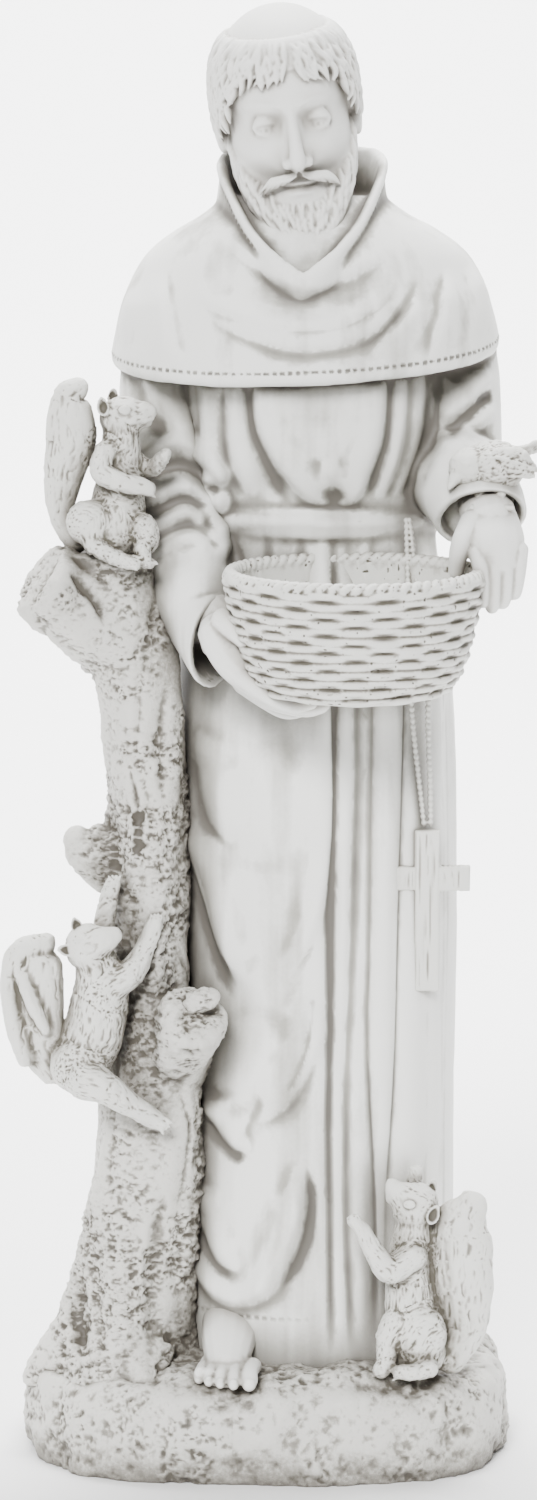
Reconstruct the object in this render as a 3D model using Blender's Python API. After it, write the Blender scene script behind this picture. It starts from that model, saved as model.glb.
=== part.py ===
"""Garden statue of a friar with a woven basket, squirrels on a tree stump and a bird, cast in one piece.

Blender, metres, +Z up. The statue faces -Y, and its origin is on the underside, below the plinth's middle.
Free forms are laid out in form units: one unit is a millimetre at the sizes set below, and each form
is then placed and scaled by its own driving dimensions.
"""

import math
import random

import bmesh
import bpy
import numpy as np
from mathutils import Euler, Vector

# Driving dimensions, in metres.
PLINTH_WIDTH = 0.330
PLINTH_DEPTH = 0.252
PLINTH_HEIGHT = 0.070
FIGURE_HEIGHT = 0.880
TRUNK_HEIGHT = 0.532
BASKET_WIDTH = 0.162
BASKET_DEPTH = 0.128
BASKET_HEIGHT = 0.074
BASKET_FLOOR_WIDTH = 0.106
BASKET_WALL = 0.007
BASKET_FLOOR = 0.008
SQUIRREL_HEIGHT = 0.100
BIRD_LENGTH = 0.058
CROSS_HEIGHT = 0.106
CROSS_WIDTH = 0.056
CROSS_THICKNESS = 0.008
BEAD_DIAMETER = 0.0042

# How finely the clay is fused, and how many triangles the finished casting keeps.
CLAY_VOXEL = 0.0016
HEAD_VOXEL = 0.0011
CASTING_TRIANGLES = 9800

CASTING_COLOUR = (0.80, 0.80, 0.77, 1.0)
CASTING_ROUGHNESS = 0.62

# The heights, in form units, that the free forms were laid out at.
FIGURE_UNITS = 880.0
TRUNK_UNITS = 532.0
SQUIRREL_UNITS = 100.0
BIRD_UNITS = 58.0
PLINTH_TOP_UNITS = 70.0

SEED = 11


# Clay: meshes as (points, faces), with points in form units.


def smooth_rows(rows, steps):
    """Rows read along a smooth curve that passes through each given row."""
    rows = np.asarray(rows, float)
    padded = np.vstack([2 * rows[0] - rows[1], rows, 2 * rows[-1] - rows[-2]])
    share = np.linspace(0, 1, steps, endpoint=False)[:, None]
    pieces = []
    for before, start, end, after in zip(padded, padded[1:], padded[2:], padded[3:]):
        pieces.append(
            start
            + 0.5 * (end - before) * share
            + (before - 2.5 * start + 2 * end - 0.5 * after) * share**2
            + (1.5 * start - 0.5 * before - 1.5 * end + 0.5 * after) * share**3
        )
    return np.vstack([*pieces, rows[-1:]])


def unit(vectors):
    vectors = np.asarray(vectors, float)
    length = np.linalg.norm(vectors, axis=-1, keepdims=True)
    return vectors / np.maximum(length, 1e-9)


def stack(rings):
    """A closed body through rings of equal count, each end closed to its middle."""
    rings = [np.asarray(ring, float) for ring in rings]
    count = len(rings[0])
    points = np.vstack([*rings, rings[0].mean(0)[None], rings[-1].mean(0)[None]])
    first_pole = count * len(rings)
    last_pole = first_pole + 1
    faces = []
    for level in range(len(rings) - 1):
        low = level * count
        for i in range(count):
            j = (i + 1) % count
            faces.append((low + i, low + j, low + count + j, low + count + i))
    top = (len(rings) - 1) * count
    for i in range(count):
        j = (i + 1) % count
        faces.append((first_pole, j, i))
        faces.append((last_pole, top + i, top + j))
    return points, faces


def tube(rows, sides=14, steps=5, broad=None, flat=1.0, blunt=0.9):
    """A limb through rows of x, y, z, radius. It is as wide as its radius along broad and flat times that across."""
    path = smooth_rows(rows, steps)
    middle = path[:, :3]
    radius = np.maximum(path[:, 3], 0.15)
    along = unit(np.gradient(middle, axis=0))
    if broad is None:
        guess = np.eye(3)[np.argmin(np.abs(along[0]))]
        wide = [unit(np.cross(along[0], guess))]
        for direction in along[1:]:
            wide.append(unit(wide[-1] - direction * (wide[-1] @ direction)))
        wide = np.array(wide)
    else:
        broad = np.asarray(broad, float)
        wide = unit(broad - along * (along @ broad)[:, None])
    thin = np.cross(along, wide)
    angle = np.linspace(0, 2 * math.pi, sides, endpoint=False)

    def ring(i, shift, share):
        spread = radius[i] * share
        around = np.cos(angle)[:, None] * wide[i] + flat * np.sin(angle)[:, None] * thin[i]
        return middle[i] + along[i] * shift * radius[i] * blunt + around * spread

    caps = [math.radians(a) for a in (80, 55, 28)]
    rings = [ring(0, -math.sin(a), math.cos(a)) for a in caps]
    rings += [ring(i, 0, 1) for i in range(len(path))]
    rings += [ring(len(path) - 1, math.sin(a), math.cos(a)) for a in reversed(caps)]
    return stack(rings)


def turned(points, turn, pivot=(0, 0, 0)):
    """Points turned about a pivot by Euler angles in degrees."""
    matrix = np.array(Euler([math.radians(a) for a in turn]).to_matrix())
    pivot = np.asarray(pivot, float)
    return (np.asarray(points) - pivot) @ matrix.T + pivot


def ball(centre, radii, turn=(0, 0, 0), rings=10, sides=18):
    levels = np.linspace(-90, 90, rings + 2)[1:-1]
    angle = np.linspace(0, 2 * math.pi, sides, endpoint=False)
    rows = []
    for level in np.radians(levels):
        rows.append(
            np.stack(
                [
                    radii[0] * math.cos(level) * np.cos(angle),
                    radii[1] * math.cos(level) * np.sin(angle),
                    np.full(sides, radii[2] * math.sin(level)),
                ],
                axis=1,
            )
        )
    points, faces = stack(rows)
    points[-2] = (0, 0, -radii[2])
    points[-1] = (0, 0, radii[2])
    return turned(points, turn) + np.asarray(centre, float), faces


def oval(height, x, y, half_width, half_depth, power=2.0, sides=72):
    """A level ring, round at power 2 and squarer above it."""
    angle = np.linspace(0, 2 * math.pi, sides, endpoint=False)
    cosine, sine = np.cos(angle), np.sin(angle)
    return np.stack(
        [
            x + half_width * np.sign(cosine) * np.abs(cosine) ** (2 / power),
            y + half_depth * np.sign(sine) * np.abs(sine) ** (2 / power),
            np.full(sides, float(height)),
        ],
        axis=1,
    )


def wall_round(profile, steps=72):
    """A closed wall swept once round: profile(angle) gives its section's points, and angle 0 is the front."""
    sections = [np.asarray(profile(a), float) for a in np.linspace(0, 2 * math.pi, steps, endpoint=False)]
    count = len(sections[0])
    faces = []
    for i in range(steps):
        j = (i + 1) % steps
        for k in range(count):
            m = (k + 1) % count
            faces.append((i * count + k, i * count + m, j * count + m, j * count + k))
    return np.vstack(sections), faces


def shifted(piece, offset):
    return piece[0] + np.asarray(offset, float), piece[1]


def scaled(pieces, place):
    return [(place(points), faces) for points, faces in pieces]


# Places: each turns form units into metres from the sizes above.


def figure_place(points):
    scale = FIGURE_HEIGHT / FIGURE_UNITS
    points = np.asarray(points, float) - (0, 0, PLINTH_TOP_UNITS)
    return points * scale + (0, 0, PLINTH_HEIGHT)


def trunk_place(points):
    scale = TRUNK_HEIGHT / TRUNK_UNITS
    points = np.asarray(points, float) - (0, 0, PLINTH_TOP_UNITS)
    return points * scale + (0, 0, PLINTH_HEIGHT)


def creature_place(seat, size, units):
    """Places an animal laid out about its seat. The seat is in metres."""

    def place(points):
        return np.asarray(points, float) * (size / units) + np.asarray(seat, float)

    return place


class Skin:
    """A fused surface: points in metres and square faces, with the tools that carve it."""

    def __init__(self, pieces, voxel):
        points, faces, first = [], [], 0
        for piece_points, piece_faces in pieces:
            points.append(np.asarray(piece_points, float))
            faces.extend(tuple(first + i for i in face) for face in piece_faces)
            first += len(piece_points)
        mesh = bpy.data.meshes.new("clay")
        mesh.from_pydata(np.vstack(points).tolist(), [], faces)
        clay = bpy.data.objects.new("clay", mesh)
        bpy.context.scene.collection.objects.link(clay)
        remesh = clay.modifiers.new("Fuse", "REMESH")
        remesh.mode = "VOXEL"
        remesh.voxel_size = voxel
        graph = bpy.context.evaluated_depsgraph_get()
        fused = clay.evaluated_get(graph).to_mesh()
        self.points = np.empty(len(fused.vertices) * 3)
        fused.vertices.foreach_get("co", self.points)
        self.points = self.points.reshape(-1, 3)
        corners = np.empty(len(fused.loops), int)
        fused.loops.foreach_get("vertex_index", corners)
        self.faces = corners.reshape(-1, 4)
        bpy.data.objects.remove(clay)
        bpy.data.meshes.remove(mesh)
        self.start = self.faces.ravel()
        self.end = np.roll(self.faces, -1, axis=1).ravel()
        self.spokes = np.bincount(self.start, minlength=len(self.points))
        self.voxel = voxel

    def average(self, values):
        """Each point's mean of its neighbours' values."""
        total = [np.bincount(self.start, values[self.end, k], len(values)) for k in range(values.shape[1])]
        return np.stack(total, axis=1) / self.spokes[:, None]

    def relax(self, rounds, share=0.5, mask=None):
        for _ in range(rounds):
            change = (self.average(self.points) - self.points) * share
            self.points += change if mask is None else change * mask[:, None]

    def soften(self, reach, mask=None):
        """Relaxes away whatever is finer than reach, however finely the skin was fused."""
        self.relax(math.ceil(4 * (reach / self.voxel) ** 2), 0.5, mask)

    def normals(self, rounds=1):
        a, b, c, d = (self.points[self.faces[:, k]] for k in range(4))
        across = np.cross(c - a, d - b)
        total = np.zeros_like(self.points)
        for k in range(4):
            for axis in range(3):
                total[:, axis] += np.bincount(self.faces[:, k], across[:, axis], len(total))
        total = unit(total)
        for _ in range(rounds):
            total = unit(self.average(total))
        return total

    def piece(self):
        return self.points, [tuple(face) for face in self.faces.tolist()]


def along_line(points, line):
    """Each point's distance to a bent line, which side it is on, and how far along it the nearest place is."""
    best = np.full(len(points), 1e9)
    side = np.ones(len(points))
    share = np.zeros(len(points))
    lengths = np.linalg.norm(np.diff(line, axis=0), axis=1)
    before = np.concatenate([[0], np.cumsum(lengths)])
    for i, length in enumerate(lengths):
        step = (line[i + 1] - line[i]) / max(length, 1e-9)
        offset = points - line[i]
        reach = np.clip(offset @ step, 0, length)
        away = offset - reach[:, None] * step
        distance = np.linalg.norm(away, axis=1)
        closer = distance < best
        best[closer] = distance[closer]
        side[closer] = np.sign(step[0] * away[closer, 1] - step[1] * away[closer, 0])
        share[closer] = (before[i] + reach[closer]) / before[-1]
    return best, side, share


def crease(skin, normals, line, width, height, skew=0.0, taper=0.5, facing=-1):
    """Raises (or, below 0, cuts) a fold along a line of x, z seen from the front (facing -1) or the back (1).

    All in metres. Skew makes the slope gentle on one side of the line and steep on the other."""
    line = smooth_rows(line, 5)
    reach = 5 * width * (1 + abs(skew))
    low, high = line.min(0) - reach, line.max(0) + reach
    flat = skin.points[:, [0, 2]]
    near = np.flatnonzero(np.all((flat > low) & (flat < high), axis=1) & (facing * normals[:, 1] > 0.02))
    if not len(near):
        return
    distance, side, share = along_line(flat[near], line)
    spread = width * (1 + skew * side)
    ends = np.clip(np.minimum(share, 1 - share) * 2 / taper, 0, 1)
    ends = ends * ends * (3 - 2 * ends)
    turned_away = np.clip(facing * normals[near, 1] * 2.5, 0, 1)
    core = np.exp(-((distance / (spread * (0.45 + 0.55 * ends))) ** 2))
    skirt = 0.3 * np.exp(-((distance / (2.3 * spread)) ** 2))
    amount = height * (core + skirt) * ends * turned_away
    skin.points[near] += normals[near] * amount[:, None]


# The friar's clothes.

ROBE_RINGS = (
    # height, middle x, middle y, half width, half depth, squareness
    (58, 33, 6, 92, 80, 2.3),
    (80, 33, 6, 92, 80, 2.3),
    (150, 33, 7, 91, 78, 2.3),
    (250, 32, 8, 92, 76, 2.3),
    (350, 32, 9, 93, 74, 2.3),
    (450, 31, 9, 93, 70, 2.3),
    (520, 30, 9, 90, 64, 2.3),
    (575, 31, 9, 82, 57, 2.3),
    (612, 33, 9, 76, 52, 2.3),
    (632, 33, 9, 77, 54, 2.3),
    (660, 32, 8, 82, 60, 2.3),
    (700, 28, 8, 88, 66, 2.3),
    (740, 25, 9, 92, 64, 2.3),
    (770, 24, 11, 92, 56, 2.3),
    (795, 24, 12, 74, 46, 2.2),
    (815, 23, 12, 46, 38, 2.0),
)


def robe():
    rows = smooth_rows(ROBE_RINGS, 4)
    return stack([oval(*row) for row in rows])


def cape():
    """The shoulder cape, hanging lower at the front."""
    rows = (
        (0, 124, 86, 2.1),
        (6, 127, 89, 2.1),
        (22, 124, 86, 2.1),
        (48, 116, 79, 2.1),
        (68, 104, 71, 2.1),
        (82, 86, 62, 2.1),
        (92, 68, 53, 2.1),
        (104, 52, 46, 2.0),
    )
    rings = []
    for rise, half_width, half_depth, power in smooth_rows(rows, 3):
        ring = oval(0, 24, 12, half_width, half_depth, power)
        frontness = np.clip(-(ring[:, 1] - 12) / 88, -1, 1)
        rightness = (ring[:, 0] - 24) / 125
        fade = max(0.0, 1 - rise / 100)
        ring[:, 2] = 722 + rise + fade * (-17 * np.clip(frontness, 0, 1) + 5 * rightness)
        rings.append(ring)
    return stack(rings)


COLLAR_MIDDLE = (22, 4)


COLLAR_RIM = ((0, 774), (22, 790), (43, 807), (67, 833), (86, 847), (120, 857), (180, 862))


def collar_rim(angle):
    """Half width, half depth and height of the standing collar's rim, by angle from the front."""
    turn = math.degrees(angle) % 360
    turn = min(turn, 360 - turn)
    height = np.interp(turn, *zip(*COLLAR_RIM))
    backness = turn / 180
    return 47 + 7 * math.sin(angle / 2) ** 2, 76 - 24 * backness, height


def collar_section(angle):
    """The collar stands up from the cape, leans out a little, and rolls over at its rim."""
    half_width, half_depth, top = collar_rim(angle)
    outward = np.array([math.sin(angle), -math.cos(angle)])
    frontness = max(0.0, math.cos(angle))
    base_width, base_depth, base = 58, 54 + 14 * frontness, 788 - 34 * frontness
    spots = (
        (base_width + 4, base_depth + 6, base - 16),
        (base_width, base_depth + 4, base + 0.3 * (top - base)),
        (half_width + 3, half_depth + 2, top - 10),
        (half_width + 6, half_depth + 3, top - 4),
        (half_width + 4, half_depth + 1, top + 1),
        (half_width - 0.5, half_depth - 3, top - 1),
        (half_width - 4, half_depth - 7, top - 11),
        (half_width - 12, half_depth - 18, base + 0.2 * (top - base)),
        (half_width - 26, half_depth - 34, base - 22),
    )
    return [
        (COLLAR_MIDDLE[0] + across * outward[0], COLLAR_MIDDLE[1] + deep * outward[1], height)
        for across, deep, height in spots
    ]


def collar():
    return wall_round(collar_section)


def belt():
    """A cloth belt that lies in three soft rolls."""
    pieces = []
    for height, out, radius in ((623, 0.0, 4.2), (617, 1.6, 4.6), (611, 0.4, 3.8)):
        rows = []
        for degrees in range(0, 361, 15):
            a = math.radians(degrees)
            rise = height + 1.2 * math.sin(2 * a + height)
            rows.append((33 + (76 + out) * math.cos(a), 9 + (53 + out) * math.sin(a), rise, radius))
        pieces.append(tube(rows, sides=10, steps=2, broad=(0, 0, 1), flat=0.8))
    return pieces


def right_sleeve():
    """The sleeve on the viewer's left, with a wide cuff that hangs open round the hand."""
    upper = tube([(-50, 14, 765, 35), (-62, 10, 710, 35), (-62, 4, 655, 34), (-58, -4, 612, 33)], sides=24)
    fore = tube([(-58, -4, 612, 33), (-52, -24, 585, 32), (-45, -42, 566, 30)], sides=24)
    seam = tube([(-26, -4, 748, 14), (-30, -14, 700, 17), (-29, -18, 660, 17), (-27, -20, 628, 12)], sides=16)
    return [upper, fore, seam]


def cuff(rows, thickness, steps=4):
    """An open sleeve end: oval rings of centre, up half, across half and the direction it opens in."""
    rows = smooth_rows(rows, steps)
    angle = np.linspace(0, 2 * math.pi, 28, endpoint=False)
    outer, inner = [], []
    for x, y, z, half_up, half_across, ax, ay, az in rows:
        forward = unit((ax, ay, az))
        side = unit(np.cross(forward, (0, 0, 1)))
        up = np.cross(side, forward)
        for rings, less in ((outer, 0), (inner, thickness)):
            rings.append(
                np.array((x, y, z))
                + np.sin(angle)[:, None] * up * (half_up - less)
                + np.cos(angle)[:, None] * side * (half_across - less)
            )
    return stack([*outer, *reversed(inner)])


def right_cuff():
    return cuff(
        [
            (-55, -18, 588, 32, 31, 0.5, -0.75, -0.45),
            (-47, -38, 567, 31, 28, 0.6, -0.72, -0.35),
            (-39, -56, 549, 29, 25, 0.7, -0.7, -0.2),
            (-33, -66, 541, 31, 26, 0.75, -0.65, -0.15),
        ],
        4.5,
    )


def left_sleeve():
    upper = tube([(102, 16, 765, 35), (115, 14, 720, 35), (118, 8, 680, 35), (120, -2, 652, 33)], sides=24)
    fore = tube([(120, -2, 650, 33), (124, -26, 643, 31), (129, -46, 634, 28)], sides=24)
    seam = tube([(86, -2, 748, 16), (92, -13, 705, 19), (94, -16, 670, 18), (96, -18, 640, 10)], sides=16)
    return [upper, fore, seam]


def left_cuff():
    return cuff(
        [
            (122, -12, 646, 33, 33, 0.2, -0.85, -0.4),
            (127, -36, 640, 32, 33, 0.2, -0.85, -0.5),
            (133, -58, 630, 31, 31, 0.15, -0.75, -0.65),
            (136, -68, 621, 31, 30, 0.1, -0.65, -0.75),
        ],
        4.5,
    )


# Hands and foot.


def right_hand():
    """Cups the basket from below: a palm, a thumb along its side and four fingers under it."""
    pieces = [
        tube([(-46, -50, 568, 14), (-34, -68, 558, 15), (-26, -82, 547, 19)], broad=(0.4, 0.5, 0.8), flat=0.85),
        tube([(-27, -84, 547, 20), (-17, -92, 533, 20), (-4, -94, 520, 16)], broad=(0.5, 0.9, 0.3), flat=0.8),
        tube([(-28, -92, 556, 10), (-18, -106, 549, 10.5), (-8, -115, 540, 9.5), (0, -120, 531, 8)]),
    ]
    for i, back in enumerate((0, 14, 28, 41)):
        reach = (26, 34, 34, 24)[i]
        pieces.append(
            tube(
                [
                    (-16, -104 + back, 526 - i, 9.6),
                    (0, -112 + back, 514 - i, 9.0),
                    (reach - 12, -112 + back, 508 - i, 8.4),
                    (reach, -111 + back, 509 - i, 7.2),
                ]
            )
        )
    return pieces


def left_hand():
    """Rests over the basket's rim: the back of the hand faces out, the fingers hang down outside it."""
    pieces = [
        tube([(130, -50, 634, 14), (136, -68, 630, 16), (140, -80, 624, 18)], broad=(1, 0, 0), flat=0.85),
        tube([(140, -80, 622, 19), (143, -92, 609, 20), (145, -97, 596, 17)], broad=(1, 0.2, 0), flat=0.72),
        tube([(130, -88, 620, 10), (124, -96, 610, 9), (121, -97, 600, 8), (120, -94, 590, 6.5)]),
    ]
    for i, across in enumerate((-13, -4, 5, 13)):
        drop = (30, 35, 31, 22)[i]
        pieces.append(
            tube(
                [
                    (145 + across, -97 + 1.5 * i, 602, 8.2),
                    (146 + 0.7 * across, -103 + 2.5 * i, 589, 7.8),
                    (145 + 0.55 * across, -102 + 3.5 * i, 584 - 0.4 * drop, 7.0),
                    (144 + 0.45 * across, -97 + 4 * i, 603 - drop, 5.4),
                ]
            )
        )
    return pieces


def foot():
    pieces = [
        tube([(-24, -40, 90, 20), (-26, -66, 82, 19), (-27, -88, 73, 15)], broad=(1, 0, 0), flat=0.85),
        tube([(-27, -80, 71, 19), (-27, -96, 68, 20)], broad=(1, 0, 0), flat=0.5),
    ]
    for i in range(5):
        across = (-13.5, -3.5, 4.5, 11.5, 17.5)[i]
        size = (7.0, 5.2, 4.9, 4.6, 4.4)[i]
        reach = (-113, -114, -111, -107, -102)[i]
        x = -26 - across
        pieces.append(tube([(x + 2, -92, 69, size), (x, -103, 69.5, size * 0.95), (x - 0.5, reach, 66.5, size * 0.9)]))
    return pieces


# Head, in its own frame: the middle of the skull is the origin, the face looks to -Y.

HEAD_SEAT = (12.0, -12.0, 882.0)
HEAD_SCALE = 1.07
HEAD_TURN = (13.0, -8.0, 2.0)


def skull_pieces():
    return [
        ball((0, 8, 15), (42, 49, 47), rings=20, sides=40),
        ball((0, -8, -10), (35.5, 38, 44), rings=20, sides=40),
        tube([(0, 6, -30, 32), (0, -16, -42, 24), (0, -27, -48, 15)], sides=24),
        tube([(-29, -2, -16, 10), (-26, -16, -34, 11), (-13, -29, -48, 11), (0, -33, -51, 11), (13, -29, -48, 11),
              (26, -16, -34, 11), (29, -2, -16, 10)], sides=16),
    ]


def bump(points, centre, radii, height):
    """A soft mound (or hollow) of displacement to the front, seen from the front."""
    away = ((points[:, 0] - centre[0]) / radii[0]) ** 2 + ((points[:, 2] - centre[1]) / radii[1]) ** 2
    return height * np.exp(-away)


def shape_face(skin):
    """Sockets, brow, cheeks, temples and the mound of the mouth, pressed into the skull from the front."""
    points = skin.points
    front = np.clip(-skin.normals(2)[:, 1] * 2.2, 0, 1)
    rise = np.zeros(len(points))
    for side in (-1, 1):
        rise += bump(points, (16.5 * side, -2), (12, 8), -6.8)
        rise += bump(points, (7.5 * side, -1), (4.5, 7), -3.0)
        rise += bump(points, (15 * side, 9.5), (14, 4.5), 2.6)
        rise += bump(points, (22 * side, -18), (10, 9), 3.0)
        rise += bump(points, (34 * side, 14), (7, 14), -2.5)
        rise += bump(points, (20 * side, -36), (7, 11), -2.5)
    rise += bump(points, (0, 9), (8, 6), 0.8)
    rise += bump(points, (0, 30), (24, 14), 1.5)
    rise += bump(points, (0, -40), (16, 10), 4.0)
    skin.points[:, 1] -= front * rise


def nose():
    bridge = [(0, -41.0, 7, 3.4), (0, -45.0, -3, 3.7), (0, -50.5, -14, 4.4), (0, -54.0, -21.5, 5.0), (0, -52, -25, 3.8)]
    return [
        tube(bridge, broad=(1, 0, 0), flat=1.15),
        tube([(0, -40, 0, 6), (0, -43, -20, 9), (0, -45, -24, 7)], broad=(1, 0, 0), flat=0.7),
        ball((6.4, -47.5, -23.5), (3.7, 5.6, 4.0)),
        ball((-6.4, -47.5, -23.5), (3.7, 5.6, 4.0)),
    ]


EYE_SPOT = (16.0, -30.6, -2.5)


def carve_features(skin):
    """Eyelids, irises, lips and nostrils, as fine carving seen from the front."""
    x, z = skin.points[:, 0], skin.points[:, 2]
    front = skin.points[:, 1] < -22
    depth = np.zeros(len(x))
    for side in (-1, 1):
        across = (x - EYE_SPOT[0] * side) / 8.6
        rise = z - EYE_SPOT[2] - 0.5 * side * across
        arch = np.clip(1 - across**2, 0, 1)
        upper, lower = 2.9 * arch**0.8, -2.7 * arch
        opening = np.clip(np.minimum(upper - rise, rise - lower) / 0.7, 0, 1)
        depth -= 1.3 * opening * (np.abs(across) < 1)
        round_iris = np.hypot(x - (EYE_SPOT[0] - 0.3) * side, rise + 0.2)
        depth += opening * (0.4 * np.exp(-(((round_iris - 2.7) / 0.6) ** 2)) - 0.9 * np.exp(-((round_iris / 1.1) ** 2)))
        lid = 5.6 * np.clip(1 - 0.7 * across**2, 0, 1)
        depth -= 0.9 * np.exp(-(((rise - lid) / 0.8) ** 2)) * (np.abs(across) < 1.1)
        under = -5.2 * np.clip(1 - 0.6 * across**2, 0, 1)
        depth -= 0.5 * np.exp(-(((rise - under) / 1.0) ** 2)) * (np.abs(across) < 1.1)
        for strand in range(16):
            t = strand / 15
            brow_x = (6.5 + 20 * t) * side
            brow_z = 8.6 + 4.2 * math.sin(2.3 * t) - 4.0 * t * t
            slope = (x - brow_x) * side - 0.8 * (z - brow_z)
            along = (z - brow_z) + 0.8 * (x - brow_x) * side
            depth += 0.8 * np.exp(-((slope / 0.75) ** 2) - (along / 2.3) ** 2)
        nostril = ((x - 4.2 * side) / 2.0) ** 2 + ((z + 27.0) / 1.4) ** 2
        depth -= 2.4 * np.exp(-nostril)
    middle = np.clip(1 - (x / 13.5) ** 2, 0, 1)
    line = -39.6 + 0.9 * np.exp(-((x / 4) ** 2)) - 0.004 * x**2
    depth += 2.2 * np.exp(-(((z - line - 2.3) / 1.9) ** 2)) * middle
    depth += 2.9 * np.exp(-(((z - line + 3.1) / 2.4) ** 2)) * np.clip(1 - (x / 11.5) ** 2, 0, 1)
    depth -= 2.3 * np.exp(-(((z - line) / 0.8) ** 2)) * np.sqrt(middle)
    depth -= 1.4 * np.exp(-((x / 2.3) ** 2) - (((z + 31.5) / 3.3) ** 2))
    skin.points[front, 1] -= depth[front]


def eyes():
    return [ball((EYE_SPOT[0] * side, EYE_SPOT[1], EYE_SPOT[2]), (9.0, 9.2, 7.2), rings=18, sides=30) for side in (-1, 1)]


def ears():
    pieces = []
    for side in (-1, 1):
        pieces.append(ball((40 * side, 4, -9), (4.5, 8, 14), (0, 0, 18 * side)))
        pieces.append(
            tube(
                [(41 * side, -3, 0, 2), (44 * side, 6, 6, 2.4), (46 * side, 13, -2, 2.4), (44 * side, 10, -14, 2.4),
                 (41 * side, 3, -22, 3)],
                sides=8,
            )
        )
    return pieces


def lock(root, tip, radius, bend, broad=(1, 0, 0)):
    """One tuft: full near its root, thin and curved at its tip."""
    root, tip, bend = (np.asarray(v, float) for v in (root, tip, bend))
    rows = []
    for t, share, swing in ((0, 0.7, 0.0), (0.3, 1.0, 0.75), (0.65, 0.8, 0.9), (1.0, 0.3, 0.0)):
        spot = root + (tip - root) * t + bend * swing
        rows.append((*spot, radius * share))
    return tube(rows, sides=8, steps=3, broad=broad, flat=0.8)


def beard_spot(degrees, level, out=0.0):
    """A place on the beard's surface: degrees round from the front, level from cheek (0) to tip (1)."""
    a = math.radians(degrees)
    turn = min(1.0, abs(degrees) / 95) ** 1.6
    wide = 35.5 + 2.5 * level - 20 * level**2.6 + out
    deep = 33 + 6 * level - 13 * level**3 + out
    front, back = -46 - 33 * level, -6 - 48 * level
    middle = -5 - 5 * level
    return np.array([wide * math.sin(a), middle - deep * math.cos(a), front + (back - front) * turn])


def beard(rng, rows=7):
    """Short waving tufts from ear to ear, row over row, that flow down to a rounded point."""
    pieces = [
        tube([(*beard_spot(d, 0.45, -6.5), 8.6) for d in range(-90, 91, 18)], sides=14),
        tube([(*beard_spot(d, 0.8, -7), 8.6) for d in range(-75, 76, 15)], sides=14),
        ball((0, -26, -66), (15, 12, 11)),
    ]
    for row in range(rows):
        level = 0.04 + 0.84 * row / (rows - 1)
        step = 7.5 if row < rows - 2 else 10
        for k in range(int(-96 / step), int(96 / step) + 1):
            degrees = step * (k + 0.5 * (row % 2)) + rng.uniform(-2, 2)
            root = beard_spot(degrees, level, 0.2)
            tip = beard_spot(degrees * 0.94 + rng.uniform(-4, 4), level + rng.uniform(0.3, 0.4), 0.8)
            away = np.array([math.sin(math.radians(degrees)), -math.cos(math.radians(degrees)), 0])
            sideways = np.array([away[1], -away[0], 0]) * rng.choice((-1, 1)) * rng.uniform(0.8, 2.2)
            pieces.append(lock(root, tip, rng.uniform(2.0, 2.8), 1.5 * away + sideways, away))
    return pieces


def moustache(rng):
    pieces = []
    for side in (-1, 1):
        for i in range(8):
            for layer in (0, 1):
                x = 1.4 + 2.0 * i + 0.8 * layer
                root = (side * x, -46.0 + 0.35 * i - 0.5 * layer, -29.4 - 0.2 * i - 2.6 * layer)
                tip = (side * (x + 4.0 + 0.3 * i), -43.6 + 0.85 * i, -36.6 - 1.15 * i - 1.8 * layer)
                bend = (side * rng.uniform(-0.3, 1.2), -1.3, rng.uniform(0.2, 1.0))
                pieces.append(lock(root, tip, rng.uniform(1.1, 1.5), bend, (0, -1, 0)))
    return pieces


def hair_spot(degrees, height, out):
    """A place outside the skull at a height, degrees round from the front."""
    a = math.radians(degrees)
    share = math.sqrt(max(0.0, 1 - ((height - 15) / 47) ** 2)) if height > 15 else 1.0
    narrow = max(0.0, -height) * 0.10
    return np.array([(42 * share + out - narrow) * math.sin(a), 8 - (49 * share + out - narrow) * math.cos(a), height])


def hair(rng):
    """The tonsure: a band of short curling tufts round a bare crown, longer over the ears and the nape."""
    pieces = []
    for height in range(43, -11, -3):
        start = float(np.interp(height, (-10, -4, 2, 26, 30, 31), (112, 84, 70, 48, 30, 0)))
        span = np.linspace(start, 360 - start, 30)
        pieces.append(tube([(*hair_spot(degrees, height, -2.6), 4.6) for degrees in span], sides=10))
    for k in range(72):
        degrees = 5 * k
        turn = min(degrees, 360 - degrees)
        lower = float(np.interp(turn, (0, 38, 62, 80, 100, 125, 180), (33, 29, 6, -2, 2, -16, -20)))
        rows = max(2, round((43 - lower) / 8) + 1)
        for row in range(rows):
            height = 43 + (lower - 43) * row / (rows - 1) + rng.uniform(-1.5, 1.5)
            side = degrees + rng.uniform(-2, 2) + 3 * (row % 2)
            lean = rng.uniform(-7, 7) + (6 if math.sin(math.radians(degrees)) > 0 else -6) * (turn < 60)
            root = hair_spot(side, height + 3, 1.2)
            tip = hair_spot(side + lean, height - 10 - 2 * (turn > 60), 2.4)
            away = hair_spot(side, 0, 1.0) - hair_spot(side, 0, 0.0)
            bend = 1.9 * away + np.array([away[1], -away[0], 0]) * rng.uniform(-2.5, 2.5)
            pieces.append(lock(root, tip, rng.uniform(2.3, 3.0), bend, away))
    return pieces


def head(voxel):
    """The finished head in form units and in its own frame: the face's skin, and the tufts laid on it."""
    rng = random.Random(SEED)
    skull = Skin([*skull_pieces(), *ears()], voxel)
    skull.soften(2.2)
    shape_face(skull)
    blended = Skin([skull.piece(), *nose()], voxel)
    blended.soften(1.9)
    face = Skin([blended.piece(), *eyes()], voxel)
    face.soften(0.7)
    carve_features(face)
    face.soften(0.3)
    return [face.piece(), *hair(rng), *beard(rng), *moustache(rng)]


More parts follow.
